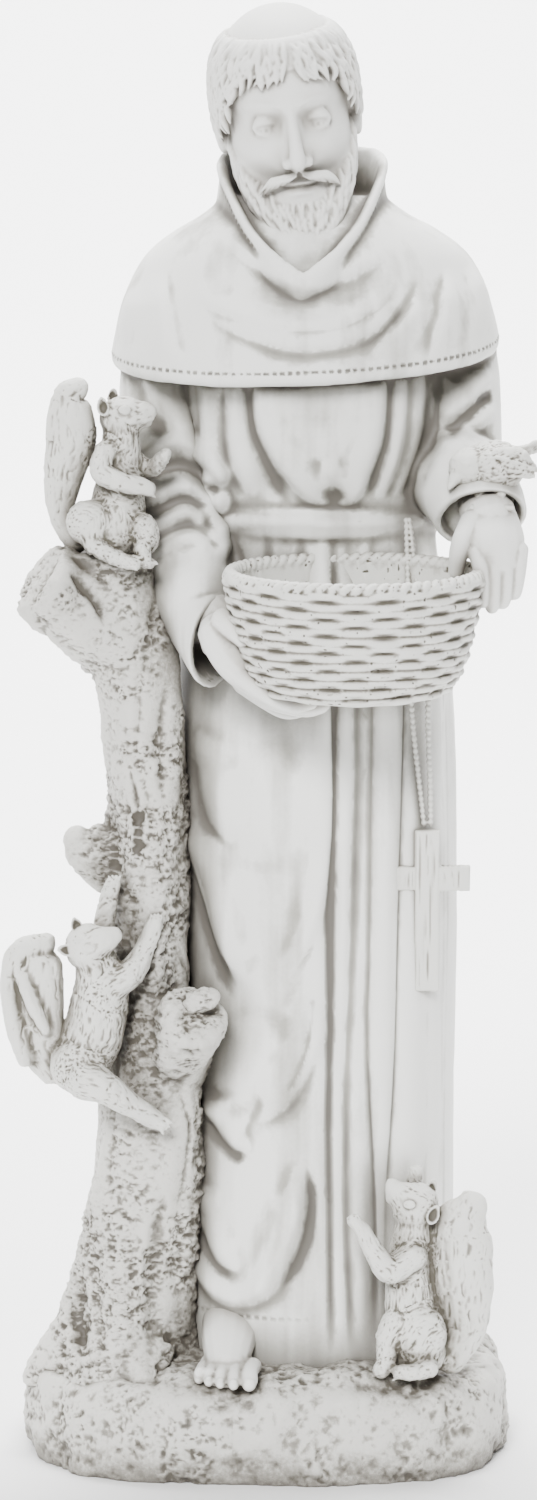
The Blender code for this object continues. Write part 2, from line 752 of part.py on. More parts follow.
def head_in_place(pieces):
    return [(turned(points * HEAD_SCALE, HEAD_TURN) + np.array(HEAD_SEAT), faces) for points, faces in pieces]


def neck():
    return tube([(22, 14, 780, 36), (20, 8, 812, 31), (16, 0, 850, 30)], sides=24)


# Rosary and cross, hanging from the belt over the robe.

ROSARY_TOP = (90.0, -42.0, 618.0)
CROSS_TOP = (103.0, -51.0, 418.0)


def rosary(bead, voxel):
    """Two strands of beads from the belt to the cross. The bead's size is in form units."""
    pieces = []
    radius = bead / 2
    for side in (-1, 1):
        line = smooth_rows(
            [
                (ROSARY_TOP[0] + 1 * side, ROSARY_TOP[1], ROSARY_TOP[2]),
                (93 + 3 * side, -53, 575),
                (97 + 6 * side, -55, 530),
                (98 + 5 * side, -53, 490),
                (101 + 3.5 * side, -52, 450),
                (CROSS_TOP[0] + 2.0 * side, CROSS_TOP[1], CROSS_TOP[2] + 3),
            ],
            12,
        )
        steps = np.concatenate([[0], np.cumsum(np.linalg.norm(np.diff(line, axis=0), axis=1))])
        for at in np.arange(0, steps[-1], bead * 0.94):
            spot = [np.interp(at, steps, line[:, k]) for k in range(3)]
            pieces.append(ball(spot, (radius, radius, radius), rings=5, sides=8))
        pieces.append(tube([(*row, radius * 0.6) for row in line[::6]], sides=6, steps=2))
    return pieces


def block(middle, size, bevel):
    """A box with chamfered edges, made as an extruded eight-sided outline."""
    half = np.asarray(size, float) / 2
    rings = []
    for depth, less in ((-half[1], bevel), (-half[1] + bevel, 0), (half[1] - bevel, 0), (half[1], bevel)):
        x, z = half[0] - less, half[2] - less
        corners = [(-x, -z), (x, -z), (x, z), (-x, z)]
        ring = []
        for (ax, az), (bx, bz) in zip(corners, corners[1:] + corners[:1]):
            for t in (0.0, 0.25, 0.5, 0.75):
                ring.append((ax + (bx - ax) * t, depth, az + (bz - az) * t))
        rings.append(np.array(ring) + np.asarray(middle, float))
    return stack(rings)


def cross():
    """A plain wooden-looking cross, in form units, hanging from its top."""
    scale = FIGURE_UNITS / (FIGURE_HEIGHT * 1000)
    high, wide, thick = (1000 * scale * v for v in (CROSS_HEIGHT, CROSS_WIDTH, CROSS_THICKNESS))
    x, y, top = CROSS_TOP
    beam = 0.155 * high
    upright = block((x, y, top - high / 2), (beam, thick, high), 1.2)
    arms = block((x, y + 0.5, top - 0.30 * high), (wide, thick, beam), 1.2)
    return [upright, arms]


# Tree stump.

TRUNK_ROWS = (
    # x, y, height, half width, half depth
    (-98, -28, 46, 60, 56),
    (-98, -30, 62, 55, 52),
    (-94, -32, 90, 46, 44),
    (-86, -34, 140, 40, 41),
    (-79, -36, 200, 36.5, 39),
    (-76, -38, 260, 32, 37),
    (-78, -38, 330, 26.5, 35),
    (-79, -36, 380, 26, 34),
    (-79, -34, 430, 26, 32),
    (-81, -34, 480, 26, 31),
    (-88, -36, 525, 28, 32),
    (-100, -38, 560, 33, 34),
    (-106, -38, 585, 33, 33),
    (-106, -38, 598, 30, 31),
)

TRUNK_CREASES = (
    # line, width, height, skew, share tapered at its ends
    (((-138, 148), (-131, 112), (-124, 66)), 4.5, -7.0, 0.3, 0.5),
    (((-118, 176), (-116, 120), (-108, 70)), 6.0, -4.5, 0.0, 0.5),
    (((-68, 190), (-72, 130), (-76, 66)), 6.0, -4.0, 0.0, 0.6),
    (((-92, 470), (-84, 430), (-88, 390)), 3.0, -3.0, 0.0, 0.7),
    (((-66, 520), (-70, 470), (-66, 430)), 3.5, -2.5, 0.0, 0.7),
    (((-128, 590), (-112, 572), (-104, 552)), 3.5, -5.0, 0.3, 0.5),
    (((-58, 285), (-50, 281), (-40, 284)), 2.2, -4.0, 0.0, 0.5),
)


def trunk():
    rows = smooth_rows(TRUNK_ROWS, 4)
    angle = np.linspace(0, 2 * math.pi, 48, endpoint=False)
    rings = []
    for x, y, height, half_width, half_depth in rows:
        wobble = 1 + 0.05 * np.sin(3 * angle + height * 0.016) + 0.035 * np.sin(5 * angle - height * 0.03)
        flare = np.clip((130 - height) / 90, 0, 1) * 0.12 * np.sin(4 * angle + 1.0)
        spread = wobble + flare
        rings.append(
            np.stack(
                [
                    x + half_width * spread * np.cos(angle),
                    y + half_depth * spread * np.sin(angle),
                    np.full(48, height),
                ],
                axis=1,
            )
        )
    return stack(rings)


def sawn_end(start, end, radius_start, radius_end, broad):
    """A short branch that ends in a flat cut."""
    start, end = np.asarray(start, float), np.asarray(end, float)
    forward = unit(end - start)
    side = unit(np.asarray(broad, float) - forward * (np.asarray(broad, float) @ forward))
    up = np.cross(forward, side)
    angle = np.linspace(0, 2 * math.pi, 28, endpoint=False)
    rings = []
    for t, bulge in ((0, 1), (0.35, 0.97), (0.7, 1.02), (0.92, 1.08), (1.0, 1.0)):
        radius = (radius_start + (radius_end - radius_start) * t) * bulge
        uneven = radius * (1 + 0.06 * np.sin(3 * angle + 1) + 0.05 * np.sin(5 * angle))
        rings.append(
            start + (end - start) * t + np.cos(angle)[:, None] * side * uneven[:, None]
            + np.sin(angle)[:, None] * up * uneven[:, None]
        )
    return stack(rings)


def stump_branches():
    return [
        sawn_end((-96, -40, 545), (-146, -66, 582), 32, 24, (0, 0, 1)),
        sawn_end((-66, -36, 256), (-47, -92, 304), 26, 20, (1, 0, 0)),
        tube([(-104, -30, 396, 24), (-119, -38, 404, 15), (-124, -40, 410, 9)], sides=20),
        tube([(-96, -34, 56, 30), (-124, -42, 62, 20), (-141, -44, 56, 11)], sides=18),
        tube([(-104, 6, 60, 30), (-128, 20, 60, 18)], sides=18),
        tube([(-84, -64, 66, 26), (-80, -84, 58, 14)], sides=18),
        ball((-42, -89, 313), (13, 9, 8), (0, -20, 10)),
        ball((-60, -91, 302), (8, 8, 9), (0, 15, 0)),
        ball((-47, -94, 292), (14, 6, 6)),
    ]


def trunk_skin(voxel):
    """Stump, sawn branch, broken stub, burl and roots as one skin with its large cracks."""
    skin = Skin(scaled([trunk(), *stump_branches()], trunk_place), voxel)
    skin.soften(0.0022)
    size = TRUNK_HEIGHT / TRUNK_UNITS
    normals = skin.normals(3)
    for line, width, height, skew, taper in TRUNK_CREASES:
        placed = trunk_place([(x, 0, z) for x, z in line])[:, [0, 2]]
        crease(skin, normals, placed, width * size, height * size, skew, taper)
    return skin


# Animals, each laid out in form units about the spot it sits on.


def limb(*rows):
    return tube(rows, sides=12)


def sitting_squirrel():
    """Sits up on the stump, facing the viewer's right, its tail up behind it."""
    return [
        tube([(6, 0, 6, 20), (10, 0, 26, 18), (12, 0, 46, 14.5), (12.5, -1, 64, 12.5), (12, -2, 76, 11)], sides=20),
        ball((14, -3, 83), (15.5, 12, 13.5), (0, -6, 0)),
        tube([(18, -3, 83, 10.5), (27, -3, 86, 8), (31, -3, 86.5, 5.5)], sides=16),
        ball((28, -3, 80), (5, 5, 4)),
        ball((-5, -11, 91), (4.6, 3, 5.4), (0, -25, -20)),
        ball((2, 8, 95), (4.4, 3, 5), (0, -20, 20)),
        ball((12, -14, 88), (3, 2, 2.6)),
        limb((3, -10, 62, 7.5), (0, -16, 49, 7.5), (14, -19, 42, 6.5), (28, -17, 39, 5.6), (31, -17, 37, 4.6)),
        limb((18, 4, 56, 7), (32, 0, 50, 6), (38, -6, 56, 5), (42, -8, 60, 4)),
        ball((-7, -13, 16), (16, 11, 15), (0, 20, 0)),
        ball((27, -8, 9), (10, 11, 14), (0, -15, 0)),
        limb((-6, -18, 2, 6), (6, -22, -4, 5.5), (16, -24, -8, 5), (22, -25, -10, 4)),
        limb((26, -17, 0, 6), (28, -20, -7, 5), (31, -22, -10, 4)),
        tube(
            [(-17, 3, 2, 8), (-26, 3, 19, 9), (-25, 2, 43, 13), (-20, 1, 67, 17), (-20, 0, 84, 16), (-20, -1, 97, 11),
             (-14, -2, 102, 7)],
            sides=20, broad=(1, -0.3, 0), flat=0.7,
        ),
    ]


def begging_squirrel():
    """Sits on the plinth, facing the viewer's left, muzzle and forepaws raised."""
    return [
        tube([(-20, 0, 14, 19), (-24, 0, 36, 18), (-27, 0, 60, 15), (-26, -1, 82, 13.5), (-24, -1, 96, 12)], sides=20),
        ball((-23, -3, 111), (15, 13, 16), (0, 32, 0)),
        tube([(-28, -3, 115, 11), (-36, -3, 122, 7.5), (-38, -3, 125, 5)], sides=16),
        ball((-38, -3, 117), (4.5, 5, 4.5)),
        ball((-12, -14, 105), (6, 3.4, 6), (0, 20, 25)),
        ball((-7, 5, 120), (5, 3, 6), (0, 30, -20)),
        ball((-29, -15, 113), (3, 2, 3)),
        limb((-24, -11, 80, 10), (-40, -17, 72, 9), (-49, -20, 84, 6.8), (-57, -20, 98, 5.4), (-63, -20, 106, 4.8)),
        limb((-20, 8, 84, 8), (-24, 12, 104, 6), (-24, 9, 122, 5.4), (-22, 6, 132, 5)),
        ball((-20, -12, 29), (18, 11, 19), (0, -10, 0)),
        ball((-38, -10, 31), (9, 10, 16), (0, 14, 0)),
        limb((-41, -12, 26, 8), (-42, -16, 12, 6.5), (-46, -20, 6, 5.5)),
        limb((-14, -18, 8, 7), (-24, -22, 6, 6), (-34, -22, 6, 5)),
        tube(
            [(0, 2, 8, 11), (8, 1, 30, 16), (8, 0, 54, 20), (6, -1, 78, 22), (7, -2, 98, 20), (14, -2, 111, 11)],
            sides=22, broad=(1, -0.2, 0), flat=0.62,
        ),
    ]


def climbing_squirrel():
    """Clings to the front of the stump, looking up and to the viewer's right. Laid out about its belly."""
    return [
        tube(
            [(-8, 4, -32, 19), (2, 0, -14, 20), (7, -2, 6, 19), (9, -4, 24, 17.5), (6, -5, 38, 14)],
            sides=22, broad=(1, 0, 0), flat=0.95,
        ),
        ball((1, -9, 48), (15, 14, 16), (0, -16, 0)),
        tube([(4, -12, 50, 11.5), (14, -14, 55, 8.5), (18, -14, 57, 6)], sides=16),
        ball((-12, -6, 66), (4, 3, 8.5), (0, -18, 0)),
        ball((-16, -12, 42), (7.5, 3.5, 5.5), (0, -8, 0)),
        ball((1, -22.5, 49), (3.6, 2, 2.8)),
        limb((12, -8, 22, 11), (28, -8, 31, 9.5), (36, -2, 44, 7), (42, 0, 58, 6), (44, 2, 64, 4.6)),
        limb((8, 4, 44, 8), (11, 6, 62, 7), (14, 8, 78, 6.2), (17, 8, 88, 5)),
        ball((-5, -9, -29), (19, 14, 19), (0, 25, 0)),
        limb((-2, -16, -36, 14), (14, -20, -43, 10.5), (28, -14, -54, 8), (42, -8, -64, 6.6), (49, -8, -68, 5)),
        tube(
            [(-20, 4, -38, 12), (-30, 2, -18, 16), (-33, 1, 6, 18.5), (-34, 0, 28, 20), (-32, -1, 40, 18)],
            sides=22, broad=(1, -0.4, 0), flat=0.6, blunt=0.4,
        ),
    ]


def bird():
    """Perched on the wrist, head low to the viewer's left, tail raised."""
    return [
        ball((-1, 0, -2), (23, 16, 18), (0, -14, 0)),
        ball((-15, -6, -1), (13, 12, 13)),
        tube([(-24, -12, -8, 4.6), (-28, -15, -14, 1.8)], sides=10),
        tube([(12, 3, 5, 10), (22, 6, 9, 7), (31, 9, 13, 6)], sides=12, broad=(0.3, -0.6, 0.7), flat=0.4),
        ball((6, -11, 2), (20, 6, 11), (0, -10, 8)),
        tube([(16, -8, 3, 8), (24, -7, 0, 4.6), (29, -6, -3, 2.4)], sides=10, flat=0.5, broad=(0, 0, 1)),
        ball((-17, -17, 1), (2.4, 1.6, 2.4)),
        limb((-8, -10, -16, 4.4), (-8, -13, -25, 3)),
        limb((5, -10, -16, 4.4), (5, -13, -25, 3)),
        limb((-14, -17, -26, 2.8), (12, -17, -26, 2.8)),
    ]


# Basket, in metres: it holds seed, so its inside is open.


def basket_place(points):
    """Sets the basket, laid out upright about the middle of its floor, between the hands."""
    tilt = Euler((math.radians(BASKET_TILT), 0, 0)).to_matrix()
    return np.asarray(points, float) @ np.array(tilt).T + figure_place(BASKET_SEAT)


BASKET_SEAT = (54.0, -94.0, 514.0)
BASKET_TILT = 5.0
WEAVE_ROWS = 12
WEAVE_STAKES = 26


def basket_section(angle, weave=0.0016):
    """The wall's section at one angle: up the outside, over the rim, down the inside and across the floor."""
    outward = np.array([math.sin(angle), -math.cos(angle)])
    rows = []
    inner = []
    levels = WEAVE_ROWS * 3
    for i in range(levels + 1):
        share = i / levels
        swell = share**0.42
        wide = (BASKET_FLOOR_WIDTH + (BASKET_WIDTH - BASKET_FLOOR_WIDTH) * swell) / 2
        deep = wide * (BASKET_DEPTH / BASKET_WIDTH) * (1 + 0.06 * (1 - share))
        row = math.floor(share * WEAVE_ROWS - 1e-6)
        over = math.cos(WEAVE_STAKES / 2 * angle + math.pi * row)
        round_strand = math.sin(math.pi * (share * WEAVE_ROWS - row)) if share > 0 else 0.0
        puff = weave * (0.6 * over + 0.2) * round_strand
        height = share * BASKET_HEIGHT
        rows.append(((wide + puff) * outward[0], (deep + puff) * outward[1], height))
        if share * BASKET_HEIGHT > BASKET_FLOOR:
            inner.append(((wide - BASKET_WALL) * outward[0], (deep - BASKET_WALL) * outward[1], height))
    return rows, inner


def basket(weave=0.0016, steps=104):
    outer_rings, inner_rings = [], []
    for a in np.linspace(0, 2 * math.pi, steps, endpoint=False):
        outer, inner = basket_section(a, weave)
        outer_rings.append(outer)
        inner_rings.append(inner)
    outer = np.swapaxes(np.array(outer_rings), 0, 1)
    inner = np.swapaxes(np.array(inner_rings), 0, 1)[::-1]
    floor = inner[-1] * (1, 1, 0) + (0, 0, BASKET_FLOOR)
    return stack([*outer, *inner, floor])


def rim(turns=34):
    """The rope-like border: two canes twisted round each other."""
    pieces = []
    wide = BASKET_WIDTH / 2 - 0.4 * BASKET_WALL
    deep = BASKET_DEPTH / 2 - 0.4 * BASKET_WALL
    for phase in (0, math.pi):
        rows = []
        for a in np.linspace(0, 2 * math.pi, turns * 6 + 1):
            twist = turns * a + phase
            out = 0.32 * BASKET_WALL * math.cos(twist)
            rows.append(
                (
                    (wide + out) * math.sin(a),
                    -(deep + out) * math.cos(a),
                    BASKET_HEIGHT + 0.32 * BASKET_WALL * math.sin(twist),
                    0.45 * BASKET_WALL,
                )
            )
        pieces.append(tube_in_metres(rows))
    return pieces


def tube_in_metres(rows):
    points, faces = tube([[1000 * v for v in row] for row in rows], sides=8, steps=1)
    return points / 1000, faces


# Plinth: a low rough boulder, in metres.


def plinth():
    """A low boulder whose crown rises a little toward the figure."""
    angle = np.linspace(0, 2 * math.pi, 96, endpoint=False)
    cosine, sine = np.cos(angle), np.sin(angle)
    power = 2 / 2.7
    uneven = 1 - 0.011 * (1 + np.sin(3 * angle + 0.6)) - 0.009 * (1 + np.sin(5 * angle + 2.0))
    outline_x = np.sign(cosine) * np.abs(cosine) ** power * uneven
    outline_y = np.sign(sine) * np.abs(sine) ** power * uneven
    rings = []
    levels = (
        (-0.06, 0.965), (0.06, 0.985), (0.3, 1.0), (0.54, 0.992), (0.72, 0.965), (0.83, 0.925), (0.9, 0.84),
        (0.95, 0.7), (0.985, 0.5), (1.0, 0.25),
    )
    for level, share in levels:
        rings.append(
            np.stack(
                [
                    outline_x * share * PLINTH_WIDTH / 2,
                    outline_y * share * PLINTH_DEPTH / 2,
                    np.full(96, level * PLINTH_HEIGHT),
                ],
                axis=1,
            )
        )
    return stack(rings)


# Drapery: lines of x and height in form units, each with its width and height.

ROBE_FOLDS = (
    # line, width, height, skew, share tapered at its ends
    (((41, 618), (41, 501), (41, 437), (40, 384),
      (41, 305), (40, 226), (41, 147), (41, 67)), 6.5, -4.7, 0.3, 0.3),
    (((58, 618), (57, 490), (56, 411), (54, 332), (51, 252), (51, 173), (53, 67)), 6.5, -4.3, 0.2, 0.3),
    (((67, 618), (67, 501), (66, 411), (65, 332), (64, 279), (69, 173), (71, 67)), 7.2, -5.1, -0.3, 0.3),
    (((88, 618), (88, 501), (86, 411), (84, 332), (82, 252), (78, 173), (78, 67)), 7.2, -4.7, -0.3, 0.3),
    (((104, 618), (104, 464), (103, 358), (102, 252), (103, 120)), 7.8, -2.7, 0, 0.3),
    (((116, 618), (116, 437), (115, 332), (114, 200), (115, 67)), 7.8, -3.5, 0.2, 0.3),
    (((49, 618), (49, 490), (49, 411), (47, 305), (45, 226), (46, 120), (47, 67)), 8.1, 3.2, 0, 0.3),
    (((62, 618), (62, 490), (61, 384), (59, 279), (59, 173), (62, 67)), 6.5, 2.8, 0, 0.3),
    (((77, 618), (77, 490), (76, 384), (74, 279), (73, 173), (74, 67)), 11.4, 3.7, 0, 0.3),
    (((96, 618), (96, 490), (95, 384), (94, 279), (92, 147)), 9.8, 3.2, 0, 0.3),
    (((110, 618), (110, 464), (109, 332), (108, 173), (109, 67)), 7.3, 2.8, 0, 0.3),
    (((36, 618), (36, 464), (36, 411), (32, 379), (23, 347), (9, 318)), 8.1, 3.9, -0.45, 0.3),
    (((31, 448), (30, 406), (24, 374), (15, 347), (5, 332)), 8.6, -2.0, -0.2, 0.6),
    (((-45, 485), (-42, 456), (-34, 429), (-21, 408)), 9.8, 3.5, 0.4, 0.5),
    (((-49, 474), (-47, 451), (-39, 424), (-27, 406)), 7.8, -2.2, 0.2, 0.5),
    (((-50, 427), (-45, 398), (-38, 369), (-29, 337), (-15, 315)), 7.5, 5.2, 0.45, 0.4),
    (((-53, 406), (-48, 374), (-40, 345), (-28, 316), (-18, 305)), 7.2, -3.3, 0.2, 0.5),
    (((34, 308), (30, 284), (21, 260), (7, 239), (-9, 226)), 7.2, 3.9, -0.45, 0.5),
    (((24, 321), (22, 292), (14, 266), (-3, 235)), 6.8, 3.1, -0.4, 0.5),
    (((29, 305), (25, 279), (15, 255), (2, 239)), 5.6, -2.0, 0, 0.6),
    (((-43, 242), (-34, 226), (-22, 213), (-10, 210)), 7.2, 4.8, 0.45, 0.5),
    (((-44, 231), (-36, 216), (-24, 204), (-11, 202)), 6.5, -2.6, 0.2, 0.5),
    (((-49, 189), (-44, 160), (-32, 137), (-16, 127)), 7.2, 4.0, 0.45, 0.5),
    (((-50, 176), (-45, 147), (-34, 128), (-19, 120)), 6.2, -2.4, 0.2, 0.5),
    (((-51, 149), (-43, 123), (-29, 110), (-12, 112), (3, 133), (16, 165), (20, 202)), 7.5, 4.8, 0.4, 0.4),
    (((21, 205), (23, 176), (17, 147), (1, 118), (-18, 102)), 6.8, 3.7, -0.4, 0.5),
    (((24, 200), (27, 170), (20, 141), (7, 118)), 6.2, -3.1, 0, 0.5),
    (((-6, 477), (-2, 432), (-6, 390)), 27.6, 4.1, 0, 0.8),
    (((-8, 305), (-10, 266), (-9, 231)), 21.1, 3.2, 0, 0.8),
)

CHEST_FOLDS = (
    (((-7, 742), (-5, 691), (2, 668), (15, 649), (31, 632), (47, 629)), 7.2, 5.1, 0.4, 0.35),
    (((-12, 742), (-11, 683), (-4, 660), (7, 638), (17, 629)), 6.6, -3.6, 0.2, 0.35),
    (((-36, 742), (-36, 679), (-31, 653), (-19, 634)), 7.8, 4.4, 0.3, 0.35),
    (((-24, 742), (-23, 679), (-17, 651), (-6, 632)), 7.2, 2.8, 0.2, 0.35),
    (((-29, 742), (-29, 674), (-24, 649), (-15, 632)), 5.8, -2.4, 0, 0.35),
    (((71, 742), (70, 681), (64, 657), (53, 633), (38, 628)), 7.2, 4.8, -0.4, 0.35),
    (((78, 742), (77, 681), (71, 653), (62, 631)), 6.4, -3.2, -0.2, 0.35),
    (((85, 742), (85, 679), (79, 651), (69, 630)), 6.6, 3.4, -0.2, 0.35),
    (((90, 742), (90, 679), (84, 651), (76, 631)), 5.5, -3.2, 0, 0.35),
    (((97, 742), (96, 679), (90, 653), (80, 632)), 7.0, 4.2, -0.3, 0.35),
    (((104, 742), (103, 679), (97, 651), (87, 631)), 5.8, -2.7, 0, 0.35),
    (((13, 651), (15, 638), (25, 628)), 4.8, -1.9, 0.3, 0.35),
    (((8, 725), (17, 683), (30, 653), (38, 636)), 17.3, 2.8, 0, 0.6),
    (((47, 725), (47, 670), (42, 636)), 14.4, 1.9, 0, 0.6),
    (((-21, 612), (-21, 590), (-20, 560)), 5.5, -2.4, 0, 0.9),
    (((0, 612), (0, 590), (1, 560)), 5.5, -2.4, 0, 0.9),
    (((21, 612), (21, 590), (22, 560)), 5.5, -2.0, 0, 0.9),
    (((51, 612), (51, 590), (52, 560)), 5.5, -2.0, 0, 0.9),
)

CAPE_FOLDS = (
    (((-30, 805), (-22, 791), (-2, 780), (15, 773),
      (29, 770), (44, 772), (64, 782), (77, 793)), 7.7, 3.2, 0.4, 0.9),
    (((-47, 791), (-36, 782), (-19, 773)), 8.7, -2.5, 0.2, 0.9),
    (((-38, 799), (-27, 782), (-14, 774)), 7.0, 2.7, 0.4, 0.9),
    (((82, 808), (83, 793), (77, 776)), 8.1, -2.6, 0.2, 0.9),
    (((87, 808), (90, 791), (84, 773), (70, 761)), 8.7, 3.1, -0.4, 0.9),
    (((-26, 776), (-12, 765), (8, 754), (34, 749), (58, 754), (78, 769), (91, 784)), 7.7, 3.8, 0.45, 0.9),
    (((-53, 778), (-39, 760), (-19, 744), (8, 733), (36, 730), (59, 736), (80, 750)), 8.1, 4.1, 0.45, 0.9),
    (((-21, 765), (0, 750), (25, 743), (51, 746), (70, 755)), 7.7, -1.8, 0.2, 0.9),
    (((-67, 778), (-68, 759), (-67, 740), (-60, 726), (-47, 715)), 8.1, 3.6, -0.35, 0.9),
    (((-62, 772), (-60, 750), (-55, 734), (-40, 721)), 8.7, -1.8, 0, 0.9),
    (((114, 755), (110, 742), (104, 730), (103, 715)), 7.7, 3.6, 0.4, 0.9),
    (((108, 746), (104, 736), (98, 723)), 7.7, -2.2, 0, 0.9),
    (((127, 776), (131, 759), (131, 742), (128, 725)), 8.1, 3.1, 0.3, 0.9),
    (((121, 763), (124, 746), (121, 729)), 7.7, -1.8, 0, 0.9),
    (((-78, 763), (-83, 742), (-85, 723)), 8.7, -1.8, 0, 0.9),
    (((17, 761), (34, 758), (51, 762)), 6.3, 1.8, 0.3, 0.9),
)

SLEEVE_FOLDS = (
    (((-92, 652), (-79, 660), (-58, 667), (-40, 655), (-32, 636)), 7.0, 5.5, 0.3, 0.3),
    (((-92, 622), (-74, 631), (-56, 639), (-42, 633), (-32, 618)), 6.5, 5.5, 0.3, 0.3),
    (((-90, 604), (-71, 616), (-53, 624), (-39, 617), (-28, 600)), 6.5, 5.2, 0.3, 0.3),
    (((-86, 588), (-70, 601), (-51, 608), (-36, 603), (-27, 590)), 6.0, 4.5, 0.3, 0.3),
    (((-94, 640), (-76, 648), (-57, 653), (-41, 645), (-32, 628)), 4.6, -4.0, 0.0, 0.4),
    (((-92, 614), (-73, 624), (-55, 631), (-40, 625), (-30, 609)), 4.4, -3.6, 0.0, 0.4),
    (((-88, 596), (-70, 609), (-52, 616), (-37, 610), (-27, 595)), 4.4, -3.4, 0.0, 0.4),
    (((-76, 728), (-73, 705), (-64, 688), (-50, 674), (-40, 668)), 9.0, 4.0, 0.3, 0.7),
    (((-90, 718), (-84, 694), (-72, 678), (-58, 668)), 7.5, -2.6, 0.0, 0.7),
    (((108, 676), (121, 688), (136, 702), (146, 716)), 7.5, 4.6, 0.4, 0.5),
    (((108, 661), (122, 672), (138, 683), (149, 694)), 7.0, 4.6, 0.3, 0.5),
    (((110, 668), (122, 680), (138, 692), (148, 704)), 5.0, -3.4, 0.0, 0.5),
    (((114, 704), (124, 716), (138, 724)), 8.0, -2.6, 0.0, 0.7),
)


def cape_edge(points):
    """The height, in metres, of the cape's lower edge above or below each point."""
    middle = figure_place((24, 12, 722))
    size = FIGURE_HEIGHT / FIGURE_UNITS
    frontness = np.clip((middle[1] - points[:, 1]) / (88 * size), 0, 1)
    rightness = (points[:, 0] - middle[0]) / (125 * size)
    return middle[2] - 17 * size * frontness + 5 * size * rightness


def drape(skin, folds, where, strength=1.0):
    """Works a list of folds into the cloth, in their order. Where holds 1 for cloth that takes them, else 0."""
    size = FIGURE_HEIGHT / FIGURE_UNITS
    untouched = skin.points.copy()
    for first in range(0, len(folds), 8):
        normals = skin.normals(3)
        for line, width, height, skew, taper in folds[first : first + 8]:
            placed = figure_place([(x, 0, z) for x, z in line])[:, [0, 2]]
            crease(skin, normals, placed, width * size, height * size * strength, skew, taper)
    skin.points = untouched + (skin.points - untouched) * where[:, None]


def back_pleats(skin):
    """Plain upright pleats round the back of the robe, which the photograph doesn't show."""
    unit_size = FIGURE_HEIGHT / FIGURE_UNITS
    normals = skin.normals(3)
    middle = figure_place((32, 8, 0))
    angle = np.arctan2(skin.points[:, 0] - middle[0], skin.points[:, 1] - middle[1])
    floor, waist = figure_place((0, 0, 66))[2], figure_place((0, 0, 600))[2]
    rise = np.clip((skin.points[:, 2] - floor) / (waist - floor), 0, 1)
    band = np.clip((0.93 - rise) * 9, 0, 1) * (skin.points[:, 2] < waist)
    back = np.clip(normals[:, 1] * 3, 0, 1)
    wave = np.sin(9 * angle + 1.2 * np.sin(3 * rise)) + 0.4 * np.sin(17 * angle)
    skin.points += normals * (3.2 * unit_size * wave * band * back)[:, None]


def cloth_skin(voxel):
    """Robe, cape, collar and sleeves as one draped cloth surface."""
    pieces = [robe(), cape(), collar(), *belt(), *right_sleeve(), right_cuff(), *left_sleeve(), left_cuff()]
    skin = Skin(scaled(pieces, figure_place), voxel)
    skin.relax(4)
    size = FIGURE_HEIGHT / FIGURE_UNITS
    below_cape = np.clip((cape_edge(skin.points) - skin.points[:, 2]) / (3 * size) - 0.5, 0, 1)
    below_belt = np.clip((figure_place((0, 0, 608))[2] - skin.points[:, 2]) / (4 * size), 0, 1)
    drape(skin, ROBE_FOLDS, below_belt)
    drape(skin, CHEST_FOLDS, below_cape)
    drape(skin, SLEEVE_FOLDS, below_cape)
    drape(skin, CAPE_FOLDS, np.clip(1 - 2 * below_cape, 0, 1))
    back_pleats(skin)
    skin.soften(0.0016 * size * 1000)
    return skin


def casting_pieces():
    """Every form of the statue, in metres, ready to be fused."""
    figure = [neck(), *head_in_place(head(HEAD_VOXEL * 1000)), *right_hand(), *left_hand(), *foot()]
    bead = BEAD_DIAMETER * 1000 * FIGURE_UNITS / (FIGURE_HEIGHT * 1000)
    figure += [*rosary(bead, None), *cross()]
    pieces = scaled(figure, figure_place)
    pieces.append(cloth_skin(CLAY_VOXEL).piece())
    pieces.append(trunk_skin(CLAY_VOXEL).piece())
    pieces += scaled(sitting_squirrel(), creature_place(trunk_place((-107, -50, 602)), SQUIRREL_HEIGHT, SQUIRREL_UNITS))
    pieces += scaled(climbing_squirrel(), creature_place(trunk_place((-117, -74, 298)), SQUIRREL_HEIGHT, SQUIRREL_UNITS))
    plinth_seat = (0.118, -0.084, PLINTH_HEIGHT - 0.004)
    pieces += scaled(begging_squirrel(), creature_place(plinth_seat, SQUIRREL_HEIGHT, SQUIRREL_UNITS))
    pieces += scaled(bird(), creature_place(figure_place((142, -72, 655)), BIRD_LENGTH, BIRD_UNITS))
    pieces += [(basket_place(points), faces) for points, faces in (basket(), *rim())]
    pieces.append(plinth())
    return pieces


def casting_material():
    material = bpy.data.materials.new("cast_stone")
    material.use_nodes = True
    shader = material.node_tree.nodes["Principled BSDF"]
    shader.inputs["Base Color"].default_value = CASTING_COLOUR
    shader.inputs["Roughness"].default_value = CASTING_ROUGHNESS
    shader.inputs["Metallic"].default_value = 0.0
    material.diffuse_color = CASTING_COLOUR
    return material


class Lens:
    """Swells the space round a spot, so that what lies there keeps more triangles. Backward undoes it."""

    def __init__(self, middle, reach, power):
        self.middle = np.array(middle, float)
        self.reach = reach
        self.power = power

    def forward(self, points):
        away = points - self.middle
        distance = np.linalg.norm(away, axis=1, keepdims=True)
        pushed = np.where(distance < self.reach, distance * self.power, distance + (self.power - 1) * self.reach)
        return self.middle + away * pushed / np.maximum(distance, 1e-9)

    def backward(self, points):
        away = points - self.middle
        distance = np.linalg.norm(away, axis=1, keepdims=True)
        edge = self.reach * self.power
        pulled = np.where(distance < edge, distance / self.power, distance - (self.power - 1) * self.reach)
        return self.middle + away * pulled / np.maximum(distance, 1e-9)


